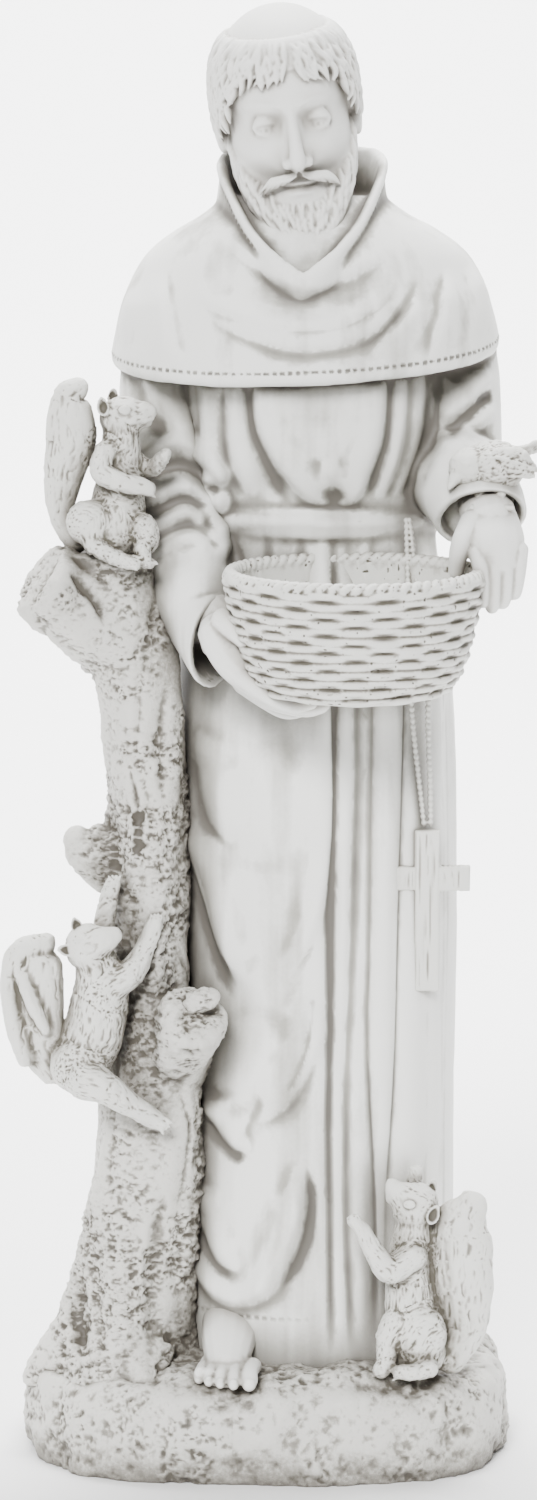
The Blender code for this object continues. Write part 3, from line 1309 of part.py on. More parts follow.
def keep_largest(mesh):
    """Drops loose shells, so that the casting has no sealed pocket inside."""
    left = set(mesh.verts)
    shells = []
    while left:
        seed = left.pop()
        shell, queue = {seed}, [seed]
        while queue:
            for edge in queue.pop().link_edges:
                for vert in edge.verts:
                    if vert in left:
                        left.discard(vert)
                        shell.add(vert)
                        queue.append(vert)
        shells.append(shell)
    largest = max(shells, key=len)
    loose = [vert for shell in shells if shell is not largest for vert in shell]
    bmesh.ops.delete(mesh, geom=loose, context="VERTS")


def close_up(mesh):
    """Clears places where the skin only touches itself, and closes the small holes that this leaves."""
    for _ in range(8):
        bad = {vert for edge in mesh.edges if len(edge.link_faces) != 2 for vert in edge.verts}
        bad |= {vert for vert in mesh.verts if not vert.is_manifold}
        if not bad:
            return
        bmesh.ops.delete(mesh, geom=list(bad), context="VERTS")
        keep_largest(mesh)
        open_edges = [edge for edge in mesh.edges if len(edge.link_faces) == 1]
        filled = bmesh.ops.holes_fill(mesh, edges=open_edges, sides=0)["faces"]
        bmesh.ops.triangulate(mesh, faces=filled)


def flatten_underside(mesh):
    """Cuts the casting level at its foot and closes the cut."""
    geometry = [*mesh.verts, *mesh.edges, *mesh.faces]
    cut = bmesh.ops.bisect_plane(mesh, geom=geometry, plane_co=(0, 0, 0), plane_no=(0, 0, -1), clear_outer=True)
    edges = [item for item in cut["geom_cut"] if isinstance(item, bmesh.types.BMEdge)]
    bmesh.ops.contextual_create(mesh, geom=edges)
    bmesh.ops.triangulate(mesh, faces=[face for face in mesh.faces if len(face.verts) > 3])
    bmesh.ops.recalc_face_normals(mesh, faces=mesh.faces)


def statue():
    """The whole casting as one object, fused from its forms and thinned to its share of triangles."""
    skin = Skin(casting_pieces(), CLAY_VOXEL)
    name = "saint_francis_statue"
    draft = bpy.data.meshes.new("draft")
    lenses = [
        Lens(figure_place(HEAD_SEAT) + (0.0, -0.02, -0.01), 0.078, 2.1),
        Lens(figure_place((140, -92, 605)), 0.03, 1.3),
        Lens(figure_place((-14, -100, 530)), 0.03, 1.3),
    ]
    swollen = skin.points
    for lens in lenses:
        swollen = lens.forward(swollen)
    draft.from_pydata(swollen.tolist(), [], skin.faces.tolist())
    clay = bpy.data.objects.new("draft", draft)
    bpy.context.scene.collection.objects.link(clay)
    thin = clay.modifiers.new("Thin", "DECIMATE")
    thin.ratio = CASTING_TRIANGLES / (2 * len(skin.faces))
    graph = bpy.context.evaluated_depsgraph_get()
    mesh = bmesh.new()
    mesh.from_mesh(clay.evaluated_get(graph).to_mesh())
    bpy.data.objects.remove(clay)
    bpy.data.meshes.remove(draft)
    thinned = np.array([vert.co for vert in mesh.verts])
    for lens in reversed(lenses):
        thinned = lens.backward(thinned)
    for vert, spot in zip(mesh.verts, thinned):
        vert.co = spot
    keep_largest(mesh)
    close_up(mesh)
    flatten_underside(mesh)
    close_up(mesh)
    casting = bpy.data.meshes.new(name)
    mesh.to_mesh(casting)
    mesh.free()
    casting.materials.append(casting_material())
    body = bpy.data.objects.new(name, casting)
    bpy.context.scene.collection.objects.link(body)
    return body


def main():
    for obj in list(bpy.data.objects):
        bpy.data.objects.remove(obj)
    statue()


if __name__ == "__main__":
    main()
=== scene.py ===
"""Picture of the garden statue of a friar with a woven basket, squirrels on a tree stump and a bird.

The forms and sizes are those of the statue's solid; fine carving, glaze with painted shade in the hollows,
light and view are added here.
"""

import math
import random

import bpy
import numpy as np
from mathutils import Euler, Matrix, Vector, kdtree


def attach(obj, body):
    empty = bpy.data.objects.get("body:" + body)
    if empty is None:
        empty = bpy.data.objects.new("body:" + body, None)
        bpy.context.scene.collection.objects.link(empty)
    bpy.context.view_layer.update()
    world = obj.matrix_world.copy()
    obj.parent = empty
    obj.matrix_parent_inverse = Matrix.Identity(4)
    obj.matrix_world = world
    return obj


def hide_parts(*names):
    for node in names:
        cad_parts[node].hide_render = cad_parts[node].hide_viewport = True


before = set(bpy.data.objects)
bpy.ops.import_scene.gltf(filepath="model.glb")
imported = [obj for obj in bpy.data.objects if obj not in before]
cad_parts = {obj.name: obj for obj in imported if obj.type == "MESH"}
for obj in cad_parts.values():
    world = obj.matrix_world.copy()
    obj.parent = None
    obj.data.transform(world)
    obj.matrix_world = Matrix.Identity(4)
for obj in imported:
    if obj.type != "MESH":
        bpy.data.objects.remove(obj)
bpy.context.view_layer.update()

NODE = "saint_francis_statue"

# Driving dimensions, in metres.
PLINTH_WIDTH = 0.330
PLINTH_DEPTH = 0.252
PLINTH_HEIGHT = 0.070
FIGURE_HEIGHT = 0.880
TRUNK_HEIGHT = 0.532
BASKET_WIDTH = 0.162
BASKET_DEPTH = 0.128
BASKET_HEIGHT = 0.074
BASKET_FLOOR_WIDTH = 0.106
BASKET_WALL = 0.007
BASKET_FLOOR = 0.008
SQUIRREL_HEIGHT = 0.100
BIRD_LENGTH = 0.058
CROSS_HEIGHT = 0.106
CROSS_WIDTH = 0.056
CROSS_THICKNESS = 0.008
BEAD_DIAMETER = 0.0042


# The heights, in form units, that the free forms were laid out at.
FIGURE_UNITS = 880.0
TRUNK_UNITS = 532.0
SQUIRREL_UNITS = 100.0
BIRD_UNITS = 58.0
PLINTH_TOP_UNITS = 70.0

SEED = 11


# Clay: meshes as (points, faces), with points in form units.


def smooth_rows(rows, steps):
    """Rows read along a smooth curve that passes through each given row."""
    rows = np.asarray(rows, float)
    padded = np.vstack([2 * rows[0] - rows[1], rows, 2 * rows[-1] - rows[-2]])
    share = np.linspace(0, 1, steps, endpoint=False)[:, None]
    pieces = []
    for before, start, end, after in zip(padded, padded[1:], padded[2:], padded[3:]):
        pieces.append(
            start
            + 0.5 * (end - before) * share
            + (before - 2.5 * start + 2 * end - 0.5 * after) * share**2
            + (1.5 * start - 0.5 * before - 1.5 * end + 0.5 * after) * share**3
        )
    return np.vstack([*pieces, rows[-1:]])


def unit(vectors):
    vectors = np.asarray(vectors, float)
    length = np.linalg.norm(vectors, axis=-1, keepdims=True)
    return vectors / np.maximum(length, 1e-9)


def stack(rings):
    """A closed body through rings of equal count, each end closed to its middle."""
    rings = [np.asarray(ring, float) for ring in rings]
    count = len(rings[0])
    points = np.vstack([*rings, rings[0].mean(0)[None], rings[-1].mean(0)[None]])
    first_pole = count * len(rings)
    last_pole = first_pole + 1
    faces = []
    for level in range(len(rings) - 1):
        low = level * count
        for i in range(count):
            j = (i + 1) % count
            faces.append((low + i, low + j, low + count + j, low + count + i))
    top = (len(rings) - 1) * count
    for i in range(count):
        j = (i + 1) % count
        faces.append((first_pole, j, i))
        faces.append((last_pole, top + i, top + j))
    return points, faces


def tube(rows, sides=14, steps=5, broad=None, flat=1.0, blunt=0.9):
    """A limb through rows of x, y, z, radius: as wide as that along broad, and flat times as wide across."""
    path = smooth_rows(rows, steps)
    middle = path[:, :3]
    radius = np.maximum(path[:, 3], 0.15)
    along = unit(np.gradient(middle, axis=0))
    if broad is None:
        guess = np.eye(3)[np.argmin(np.abs(along[0]))]
        wide = [unit(np.cross(along[0], guess))]
        for direction in along[1:]:
            wide.append(unit(wide[-1] - direction * (wide[-1] @ direction)))
        wide = np.array(wide)
    else:
        broad = np.asarray(broad, float)
        wide = unit(broad - along * (along @ broad)[:, None])
    thin = np.cross(along, wide)
    angle = np.linspace(0, 2 * math.pi, sides, endpoint=False)

    def ring(i, shift, share):
        spread = radius[i] * share
        around = np.cos(angle)[:, None] * wide[i] + flat * np.sin(angle)[:, None] * thin[i]
        return middle[i] + along[i] * shift * radius[i] * blunt + around * spread

    caps = [math.radians(a) for a in (80, 55, 28)]
    rings = [ring(0, -math.sin(a), math.cos(a)) for a in caps]
    rings += [ring(i, 0, 1) for i in range(len(path))]
    rings += [ring(len(path) - 1, math.sin(a), math.cos(a)) for a in reversed(caps)]
    return stack(rings)


def turned(points, turn, pivot=(0, 0, 0)):
    """Points turned about a pivot by Euler angles in degrees."""
    matrix = np.array(Euler([math.radians(a) for a in turn]).to_matrix())
    pivot = np.asarray(pivot, float)
    return (np.asarray(points) - pivot) @ matrix.T + pivot


def level_ring(x, y, height):
    """A ring of points that all lie at one height."""
    return np.stack([x, y, np.full(len(x), float(height))], axis=1)


def ball(centre, radii, turn=(0, 0, 0), rings=10, sides=18):
    angle = np.linspace(0, 2 * math.pi, sides, endpoint=False)
    rows = []
    for level in np.radians(np.linspace(-90, 90, rings + 2)[1:-1]):
        wide, deep = radii[0] * math.cos(level), radii[1] * math.cos(level)
        rows.append(level_ring(wide * np.cos(angle), deep * np.sin(angle), radii[2] * math.sin(level)))
    points, faces = stack(rows)
    points[-2] = (0, 0, -radii[2])
    points[-1] = (0, 0, radii[2])
    return turned(points, turn) + np.asarray(centre, float), faces


def oval(height, x, y, half_width, half_depth, power=2.0, sides=72):
    """A level ring, round at power 2 and squarer above it."""
    angle = np.linspace(0, 2 * math.pi, sides, endpoint=False)
    cosine, sine = np.cos(angle), np.sin(angle)
    return level_ring(
        x + half_width * np.sign(cosine) * np.abs(cosine) ** (2 / power),
        y + half_depth * np.sign(sine) * np.abs(sine) ** (2 / power),
        height,
    )


def wall_round(profile, steps=72):
    """A closed wall swept once round: profile(angle) gives its section's points, and angle 0 is the front."""
    sections = [np.asarray(profile(a), float) for a in np.linspace(0, 2 * math.pi, steps, endpoint=False)]
    count = len(sections[0])
    faces = []
    for i in range(steps):
        j = (i + 1) % steps
        for k in range(count):
            m = (k + 1) % count
            faces.append((i * count + k, i * count + m, j * count + m, j * count + k))
    return np.vstack(sections), faces


def scaled(pieces, place):
    return [(place(points), faces) for points, faces in pieces]


# Places: each turns form units into metres from the sizes above.


def figure_place(points):
    scale = FIGURE_HEIGHT / FIGURE_UNITS
    points = np.asarray(points, float) - (0, 0, PLINTH_TOP_UNITS)
    return points * scale + (0, 0, PLINTH_HEIGHT)


def trunk_place(points):
    scale = TRUNK_HEIGHT / TRUNK_UNITS
    points = np.asarray(points, float) - (0, 0, PLINTH_TOP_UNITS)
    return points * scale + (0, 0, PLINTH_HEIGHT)


def creature_place(seat, size, units):
    """Places an animal laid out about its seat. The seat is in metres."""

    def place(points):
        return np.asarray(points, float) * (size / units) + np.asarray(seat, float)

    return place


class Skin:
    """A fused surface: points in metres and square faces, with the tools that carve it."""

    def __init__(self, pieces, voxel):
        points, faces, first = [], [], 0
        for piece_points, piece_faces in pieces:
            points.append(np.asarray(piece_points, float))
            faces.extend(tuple(first + i for i in face) for face in piece_faces)
            first += len(piece_points)
        mesh = bpy.data.meshes.new("clay")
        mesh.from_pydata(np.vstack(points).tolist(), [], faces)
        clay = bpy.data.objects.new("clay", mesh)
        bpy.context.scene.collection.objects.link(clay)
        remesh = clay.modifiers.new("Fuse", "REMESH")
        remesh.mode = "VOXEL"
        remesh.voxel_size = voxel
        graph = bpy.context.evaluated_depsgraph_get()
        fused = clay.evaluated_get(graph).to_mesh()
        self.points = np.empty(len(fused.vertices) * 3)
        fused.vertices.foreach_get("co", self.points)
        self.points = self.points.reshape(-1, 3)
        corners = np.empty(len(fused.loops), int)
        fused.loops.foreach_get("vertex_index", corners)
        self.faces = corners.reshape(-1, 4)
        bpy.data.objects.remove(clay)
        bpy.data.meshes.remove(mesh)
        self.start = self.faces.ravel()
        self.end = np.roll(self.faces, -1, axis=1).ravel()
        self.spokes = np.bincount(self.start, minlength=len(self.points))
        self.voxel = voxel

    def average(self, values):
        """Each point's mean of its neighbours' values."""
        total = [np.bincount(self.start, values[self.end, k], len(values)) for k in range(values.shape[1])]
        return np.stack(total, axis=1) / self.spokes[:, None]

    def relax(self, rounds, share=0.5, mask=None):
        for _ in range(rounds):
            change = (self.average(self.points) - self.points) * share
            self.points += change if mask is None else change * mask[:, None]

    def soften(self, reach, mask=None):
        """Relaxes away whatever is finer than reach, however finely the skin was fused."""
        self.relax(math.ceil(4 * (reach / self.voxel) ** 2), 0.5, mask)

    def normals(self, rounds=1):
        a, b, c, d = (self.points[self.faces[:, k]] for k in range(4))
        across = np.cross(c - a, d - b)
        total = np.zeros_like(self.points)
        for k in range(4):
            for axis in range(3):
                total[:, axis] += np.bincount(self.faces[:, k], across[:, axis], len(total))
        total = unit(total)
        for _ in range(rounds):
            total = unit(self.average(total))
        return total

    def piece(self):
        return self.points, [tuple(face) for face in self.faces.tolist()]


def along_line(points, line):
    """Each point's distance to a bent line, its side of the line, and how far along its nearest place is."""
    best = np.full(len(points), 1e9)
    side = np.ones(len(points))
    share = np.zeros(len(points))
    lengths = np.linalg.norm(np.diff(line, axis=0), axis=1)
    before = np.concatenate([[0], np.cumsum(lengths)])
    for i, length in enumerate(lengths):
        step = (line[i + 1] - line[i]) / max(length, 1e-9)
        offset = points - line[i]
        reach = np.clip(offset @ step, 0, length)
        away = offset - reach[:, None] * step
        distance = np.linalg.norm(away, axis=1)
        closer = distance < best
        best[closer] = distance[closer]
        side[closer] = np.sign(step[0] * away[closer, 1] - step[1] * away[closer, 0])
        share[closer] = (before[i] + reach[closer]) / before[-1]
    return best, side, share


def crease(skin, normals, line, width, height, skew=0.0, taper=0.5, facing=-1):
    """Raises (or, below 0, cuts) a fold along a line of x, z seen from the front (facing -1) or the back (1).

    All in metres. Skew makes the slope gentle on one side of the line and steep on the other."""
    line = smooth_rows(line, 5)
    reach = 5 * width * (1 + abs(skew))
    low, high = line.min(0) - reach, line.max(0) + reach
    flat = skin.points[:, [0, 2]]
    inside = np.all((flat > low) & (flat < high), axis=1)
    near = np.flatnonzero(inside & (facing * normals[:, 1] > 0.02))
    if not len(near):
        return
    distance, side, share = along_line(flat[near], line)
    spread = width * (1 + skew * side)
    ends = np.clip(np.minimum(share, 1 - share) * 2 / taper, 0, 1)
    ends = ends * ends * (3 - 2 * ends)
    turned_away = np.clip(facing * normals[near, 1] * 2.5, 0, 1)
    core = np.exp(-((distance / (spread * (0.45 + 0.55 * ends))) ** 2))
    skirt = 0.3 * np.exp(-((distance / (2.3 * spread)) ** 2))
    amount = height * (core + skirt) * ends * turned_away
    skin.points[near] += normals[near] * amount[:, None]


# The friar's clothes.

ROBE_RINGS = (
    # height, middle x, middle y, half width, half depth, squareness
    (58, 33, 6, 92, 80, 2.3),
    (80, 33, 6, 92, 80, 2.3),
    (150, 33, 7, 91, 78, 2.3),
    (250, 32, 8, 92, 76, 2.3),
    (350, 32, 9, 93, 74, 2.3),
    (450, 31, 9, 93, 70, 2.3),
    (520, 30, 9, 90, 64, 2.3),
    (575, 31, 9, 82, 57, 2.3),
    (612, 33, 9, 76, 52, 2.3),
    (632, 33, 9, 77, 54, 2.3),
    (660, 32, 8, 82, 60, 2.3),
    (700, 28, 8, 88, 66, 2.3),
    (740, 25, 9, 92, 64, 2.3),
    (770, 24, 11, 92, 56, 2.3),
    (795, 24, 12, 74, 46, 2.2),
    (815, 23, 12, 46, 38, 2.0),
)


def robe():
    rows = smooth_rows(ROBE_RINGS, 4)
    return stack([oval(*row) for row in rows])


# The cape's middle, the height of its lower edge, and how far that edge drops in front.
CAPE_MIDDLE = (24, 12)
CAPE_EDGE = 722
CAPE_DROP = 17


def cape_fall(points):
    """How far above its usual height the cape's edge lies: lower in front, higher to the right."""
    frontness = np.clip((CAPE_MIDDLE[1] - points[:, 1]) / 88, 0, 1)
    return 5 * (points[:, 0] - CAPE_MIDDLE[0]) / 125 - CAPE_DROP * frontness


def cape():
    """The shoulder cape, hanging lower at the front."""
    rows = (
        (0, 124, 86, 2.1),
        (6, 127, 89, 2.1),
        (22, 124, 86, 2.1),
        (48, 116, 79, 2.1),
        (68, 104, 71, 2.1),
        (82, 86, 62, 2.1),
        (92, 68, 53, 2.1),
        (104, 52, 46, 2.0),
    )
    rings = []
    for rise, half_width, half_depth, power in smooth_rows(rows, 3):
        ring = oval(0, *CAPE_MIDDLE, half_width, half_depth, power)
        fade = max(0.0, 1 - rise / 100)
        ring[:, 2] = CAPE_EDGE + rise + fade * cape_fall(ring)
        rings.append(ring)
    return stack(rings)


COLLAR_MIDDLE = (22, 4)
# Degrees round from the front, and the rim's height there.
COLLAR_RIM = ((0, 774), (22, 790), (43, 807), (67, 833), (86, 847), (120, 857), (180, 862))


def collar_rim(angle):
    """Half width, half depth and height of the standing collar's rim, by angle from the front."""
    turn = math.degrees(angle) % 360
    turn = min(turn, 360 - turn)
    height = np.interp(turn, *zip(*COLLAR_RIM))
    backness = turn / 180
    return 47 + 7 * math.sin(angle / 2) ** 2, 76 - 24 * backness, height


def collar_section(angle):
    """The collar stands up from the cape, leans out a little, and rolls over at its rim."""
    half_width, half_depth, top = collar_rim(angle)
    outward = np.array([math.sin(angle), -math.cos(angle)])
    frontness = max(0.0, math.cos(angle))
    base_width, base_depth, base = 58, 54 + 14 * frontness, 788 - 34 * frontness
    spots = (
        (base_width + 4, base_depth + 6, base - 16),
        (base_width, base_depth + 4, base + 0.3 * (top - base)),
        (half_width + 3, half_depth + 2, top - 10),
        (half_width + 6, half_depth + 3, top - 4),
        (half_width + 4, half_depth + 1, top + 1),
        (half_width - 0.5, half_depth - 3, top - 1),
        (half_width - 4, half_depth - 7, top - 11),
        (half_width - 12, half_depth - 18, base + 0.2 * (top - base)),
        (half_width - 26, half_depth - 34, base - 22),
    )
    return [
        (COLLAR_MIDDLE[0] + across * outward[0], COLLAR_MIDDLE[1] + deep * outward[1], height)
        for across, deep, height in spots
    ]


def collar():
    return wall_round(collar_section)


def belt():
    """A cloth belt that lies in three soft rolls."""
    pieces = []
    for height, out, radius in ((623, 0.0, 4.2), (617, 1.6, 4.6), (611, 0.4, 3.8)):
        rows = []
        for degrees in range(0, 361, 15):
            a = math.radians(degrees)
            rise = height + 1.2 * math.sin(2 * a + height)
            rows.append((33 + (76 + out) * math.cos(a), 9 + (53 + out) * math.sin(a), rise, radius))
        pieces.append(tube(rows, sides=10, steps=2, broad=(0, 0, 1), flat=0.8))
    return pieces


def right_sleeve():
    """The sleeve on the viewer's left, with a wide cuff that hangs open round the hand."""
    upper = tube([(-50, 14, 765, 35), (-62, 10, 710, 35), (-62, 4, 655, 34), (-58, -4, 612, 33)], sides=24)
    fore = tube([(-58, -4, 612, 33), (-52, -24, 585, 32), (-45, -42, 566, 30)], sides=24)
    seam = tube([(-26, -4, 748, 14), (-30, -14, 700, 17), (-29, -18, 660, 17), (-27, -20, 628, 12)], sides=16)
    return [upper, fore, seam]


def cuff(rows, thickness, steps=4):
    """An open sleeve end: oval rings of centre, up half, across half and the direction it opens in."""
    rows = smooth_rows(rows, steps)
    angle = np.linspace(0, 2 * math.pi, 28, endpoint=False)
    outer, inner = [], []
    for x, y, z, half_up, half_across, ax, ay, az in rows:
        forward = unit((ax, ay, az))
        side = unit(np.cross(forward, (0, 0, 1)))
        up = np.cross(side, forward)
        for rings, less in ((outer, 0), (inner, thickness)):
            rings.append(
                np.array((x, y, z))
                + np.sin(angle)[:, None] * up * (half_up - less)
                + np.cos(angle)[:, None] * side * (half_across - less)
            )
    return stack([*outer, *reversed(inner)])


def right_cuff():
    return cuff(
        [
            (-55, -18, 588, 32, 31, 0.5, -0.75, -0.45),
            (-47, -38, 567, 31, 28, 0.6, -0.72, -0.35),
            (-39, -56, 549, 29, 25, 0.7, -0.7, -0.2),
            (-33, -66, 541, 31, 26, 0.75, -0.65, -0.15),
        ],
        4.5,
    )


def left_sleeve():
    upper = tube([(102, 16, 765, 35), (115, 14, 720, 35), (118, 8, 680, 35), (120, -2, 652, 33)], sides=24)
    fore = tube([(120, -2, 650, 33), (124, -26, 643, 31), (129, -46, 634, 28)], sides=24)
    seam = tube([(86, -2, 748, 16), (92, -13, 705, 19), (94, -16, 670, 18), (96, -18, 640, 10)], sides=16)
    return [upper, fore, seam]


def left_cuff():
    return cuff(
        [
            (122, -12, 646, 33, 33, 0.2, -0.85, -0.4),
            (127, -36, 640, 32, 33, 0.2, -0.85, -0.5),
            (133, -58, 630, 31, 31, 0.15, -0.75, -0.65),
            (136, -68, 621, 31, 30, 0.1, -0.65, -0.75),
        ],
        4.5,
    )


# Head, in its own frame: the middle of the skull is the origin, the face looks to -Y.

HEAD_SEAT = (12.0, -12.0, 882.0)
HEAD_SCALE = 1.07
HEAD_TURN = (13.0, -8.0, 2.0)


def skull_pieces():
    half_jaw = [(-29, -2, -16, 10), (-26, -16, -34, 11), (-13, -29, -48, 11)]
    jaw_line = [*half_jaw, (0, -33, -51, 11), *[(-x, y, z, radius) for x, y, z, radius in reversed(half_jaw)]]
    return [
        ball((0, 8, 15), (42, 49, 47), rings=20, sides=40),
        ball((0, -8, -10), (35.5, 38, 44), rings=20, sides=40),
        tube([(0, 6, -30, 32), (0, -16, -42, 24), (0, -27, -48, 15)], sides=24),
        tube(jaw_line, sides=16),
    ]


def bump(points, centre, radii, height):
    """A soft mound (or hollow) of displacement to the front, seen from the front."""
    away = ((points[:, 0] - centre[0]) / radii[0]) ** 2 + ((points[:, 2] - centre[1]) / radii[1]) ** 2
    return height * np.exp(-away)


def shape_face(skin):
    """Sockets, brow, cheeks, temples and the mound of the mouth, pressed into the skull from the front."""
    points = skin.points
    front = np.clip(-skin.normals(2)[:, 1] * 2.2, 0, 1)
    rise = np.zeros(len(points))
    for side in (-1, 1):
        rise += bump(points, (16.5 * side, -2), (12, 8), -6.8)
        rise += bump(points, (7.5 * side, -1), (4.5, 7), -3.0)
        rise += bump(points, (15 * side, 9.5), (14, 4.5), 2.6)
        rise += bump(points, (22 * side, -18), (10, 9), 3.0)
        rise += bump(points, (34 * side, 14), (7, 14), -2.5)
        rise += bump(points, (20 * side, -36), (7, 11), -2.5)
    rise += bump(points, (0, 9), (8, 6), 0.8)
    rise += bump(points, (0, 30), (24, 14), 1.5)
    rise += bump(points, (0, -40), (16, 10), 4.0)
    skin.points[:, 1] -= front * rise


def nose():
    bridge = [(-41, 7, 3.4), (-45, -3, 3.7), (-50.5, -14, 4.4), (-54, -21.5, 5), (-52, -25, 3.8)]
    base = [(-40, 0, 6), (-43, -20, 9), (-45, -24, 7)]
    return [
        tube([(0, *row) for row in bridge], broad=(1, 0, 0), flat=1.15),
        tube([(0, *row) for row in base], broad=(1, 0, 0), flat=0.7),
        *[ball((6.4 * side, -47.5, -23.5), (3.7, 5.6, 4.0)) for side in (1, -1)],
    ]


def ears():
    edge = [(41, -3, 0, 2), (44, 6, 6, 2.4), (46, 13, -2, 2.4), (44, 10, -14, 2.4), (41, 3, -22, 3)]
    pieces = []
    for side in (-1, 1):
        pieces.append(ball((40 * side, 4, -9), (4.5, 8, 14), (0, 0, 18 * side)))
        pieces.append(tube([(x * side, y, z, radius) for x, y, z, radius in edge], sides=8))
    return pieces


def lock(root, tip, radius, bend, broad=(1, 0, 0)):
    """One tuft: full near its root, thin and curved at its tip."""
    root, tip, bend = (np.asarray(v, float) for v in (root, tip, bend))
    rows = []
    for t, share, swing in ((0, 0.7, 0.0), (0.3, 1.0, 0.75), (0.65, 0.8, 0.9), (1.0, 0.3, 0.0)):
        spot = root + (tip - root) * t + bend * swing
        rows.append((*spot, radius * share))
    return tube(rows, sides=8, steps=3, broad=broad, flat=0.8)


def hair_spot(degrees, height, out):
    """A place outside the skull at a height, degrees round from the front."""
    a = math.radians(degrees)
    share = math.sqrt(max(0.0, 1 - ((height - 15) / 47) ** 2)) if height > 15 else 1.0
    more = out - max(0.0, -height) * 0.10
    return np.array([(42 * share + more) * math.sin(a), 8 - (49 * share + more) * math.cos(a), height])


def head(voxel):
    """The finished head in form units and in its own frame: the face's skin, and the tufts laid on it."""
    rng = random.Random(SEED)
    skull = Skin([*skull_pieces(), *ears()], voxel)
    skull.soften(2.2)
    shape_face(skull)
    blended = Skin([skull.piece(), *nose()], voxel)
    blended.soften(1.9)
    face = Skin([blended.piece(), *eyes()], voxel)
    face.soften(0.7)
    carve_features(face)
    face.soften(0.3)
    return [face.piece(), *hair(rng), *beard(rng), *moustache(rng)]


def head_in_place(pieces):
    return [(turned(points * HEAD_SCALE, HEAD_TURN) + np.array(HEAD_SEAT), faces) for points, faces in pieces]


def neck():
    return tube([(22, 14, 780, 36), (20, 8, 812, 31), (16, 0, 850, 30)], sides=24)


# Rosary and cross, hanging from the belt over the robe.

ROSARY_TOP = (90.0, -42.0, 618.0)
CROSS_TOP = (103.0, -51.0, 418.0)


def rosary(bead):
    """Two strands of beads from the belt to the cross. The bead's size is in form units."""
    pieces = []
    radius = bead / 2
    for side in (-1, 1):
        line = smooth_rows(
            [
                (ROSARY_TOP[0] + 1 * side, ROSARY_TOP[1], ROSARY_TOP[2]),
                (93 + 3 * side, -53, 575),
                (97 + 6 * side, -55, 530),
                (98 + 5 * side, -53, 490),
                (101 + 3.5 * side, -52, 450),
                (CROSS_TOP[0] + 2.0 * side, CROSS_TOP[1], CROSS_TOP[2] + 3),
            ],
            12,
        )
        steps = np.concatenate([[0], np.cumsum(np.linalg.norm(np.diff(line, axis=0), axis=1))])
        for at in np.arange(0, steps[-1], bead * 0.94):
            spot = [np.interp(at, steps, line[:, k]) for k in range(3)]
            pieces.append(ball(spot, (radius, radius, radius), rings=5, sides=8))
        pieces.append(tube([(*row, radius * 0.6) for row in line[::6]], sides=6, steps=2))
    return pieces


def block(middle, size, bevel):
    """A box with chamfered edges, made as an extruded eight-sided outline."""
    half = np.asarray(size, float) / 2
    rings = []
    for depth, less in ((-half[1], bevel), (-half[1] + bevel, 0), (half[1] - bevel, 0), (half[1], bevel)):
        x, z = half[0] - less, half[2] - less
        corners = [(-x, -z), (x, -z), (x, z), (-x, z)]
        ring = []
        for (ax, az), (bx, bz) in zip(corners, corners[1:] + corners[:1]):
            for t in (0.0, 0.25, 0.5, 0.75):
                ring.append((ax + (bx - ax) * t, depth, az + (bz - az) * t))
        rings.append(np.array(ring) + np.asarray(middle, float))
    return stack(rings)


def cross():
    """A plain wooden-looking cross, in form units, hanging from its top."""
    scale = FIGURE_UNITS / (FIGURE_HEIGHT * 1000)
    high, wide, thick = (1000 * scale * v for v in (CROSS_HEIGHT, CROSS_WIDTH, CROSS_THICKNESS))
    x, y, top = CROSS_TOP
    beam = 0.155 * high
    upright = block((x, y, top - high / 2), (beam, thick, high), 1.2)
    arms = block((x, y + 0.5, top - 0.30 * high), (wide, thick, beam), 1.2)
    return [upright, arms]


# Tree stump.

TRUNK_ROWS = (
    # x, y, height, half width, half depth
    (-98, -28, 46, 60, 56),
    (-98, -30, 62, 55, 52),
    (-94, -32, 90, 46, 44),
    (-86, -34, 140, 40, 41),
    (-79, -36, 200, 36.5, 39),
    (-76, -38, 260, 32, 37),
    (-78, -38, 330, 26.5, 35),
    (-79, -36, 380, 26, 34),
    (-79, -34, 430, 26, 32),
    (-81, -34, 480, 26, 31),
    (-88, -36, 525, 28, 32),
    (-100, -38, 560, 33, 34),
    (-106, -38, 585, 33, 33),
    (-106, -38, 598, 30, 31),
)

TRUNK_CREASES = (
    # line, width, height, skew, share tapered at its ends
    (((-138, 148), (-131, 112), (-124, 66)), 4.5, -7.0, 0.3, 0.5),
    (((-118, 176), (-116, 120), (-108, 70)), 6.0, -4.5, 0.0, 0.5),
    (((-68, 190), (-72, 130), (-76, 66)), 6.0, -4.0, 0.0, 0.6),
    (((-92, 470), (-84, 430), (-88, 390)), 3.0, -3.0, 0.0, 0.7),
    (((-66, 520), (-70, 470), (-66, 430)), 3.5, -2.5, 0.0, 0.7),
    (((-128, 590), (-112, 572), (-104, 552)), 3.5, -5.0, 0.3, 0.5),
    (((-58, 285), (-50, 281), (-40, 284)), 2.2, -4.0, 0.0, 0.5),
)


def trunk():
    rows = smooth_rows(TRUNK_ROWS, 4)
    angle = np.linspace(0, 2 * math.pi, 48, endpoint=False)
    rings = []
    for x, y, height, half_width, half_depth in rows:
        wobble = 1 + 0.05 * np.sin(3 * angle + height * 0.016) + 0.035 * np.sin(5 * angle - height * 0.03)
        flare = np.clip((130 - height) / 90, 0, 1) * 0.12 * np.sin(4 * angle + 1.0)
        spread = wobble + flare
        across, deep = half_width * spread * np.cos(angle), half_depth * spread * np.sin(angle)
        rings.append(level_ring(x + across, y + deep, height))
    return stack(rings)


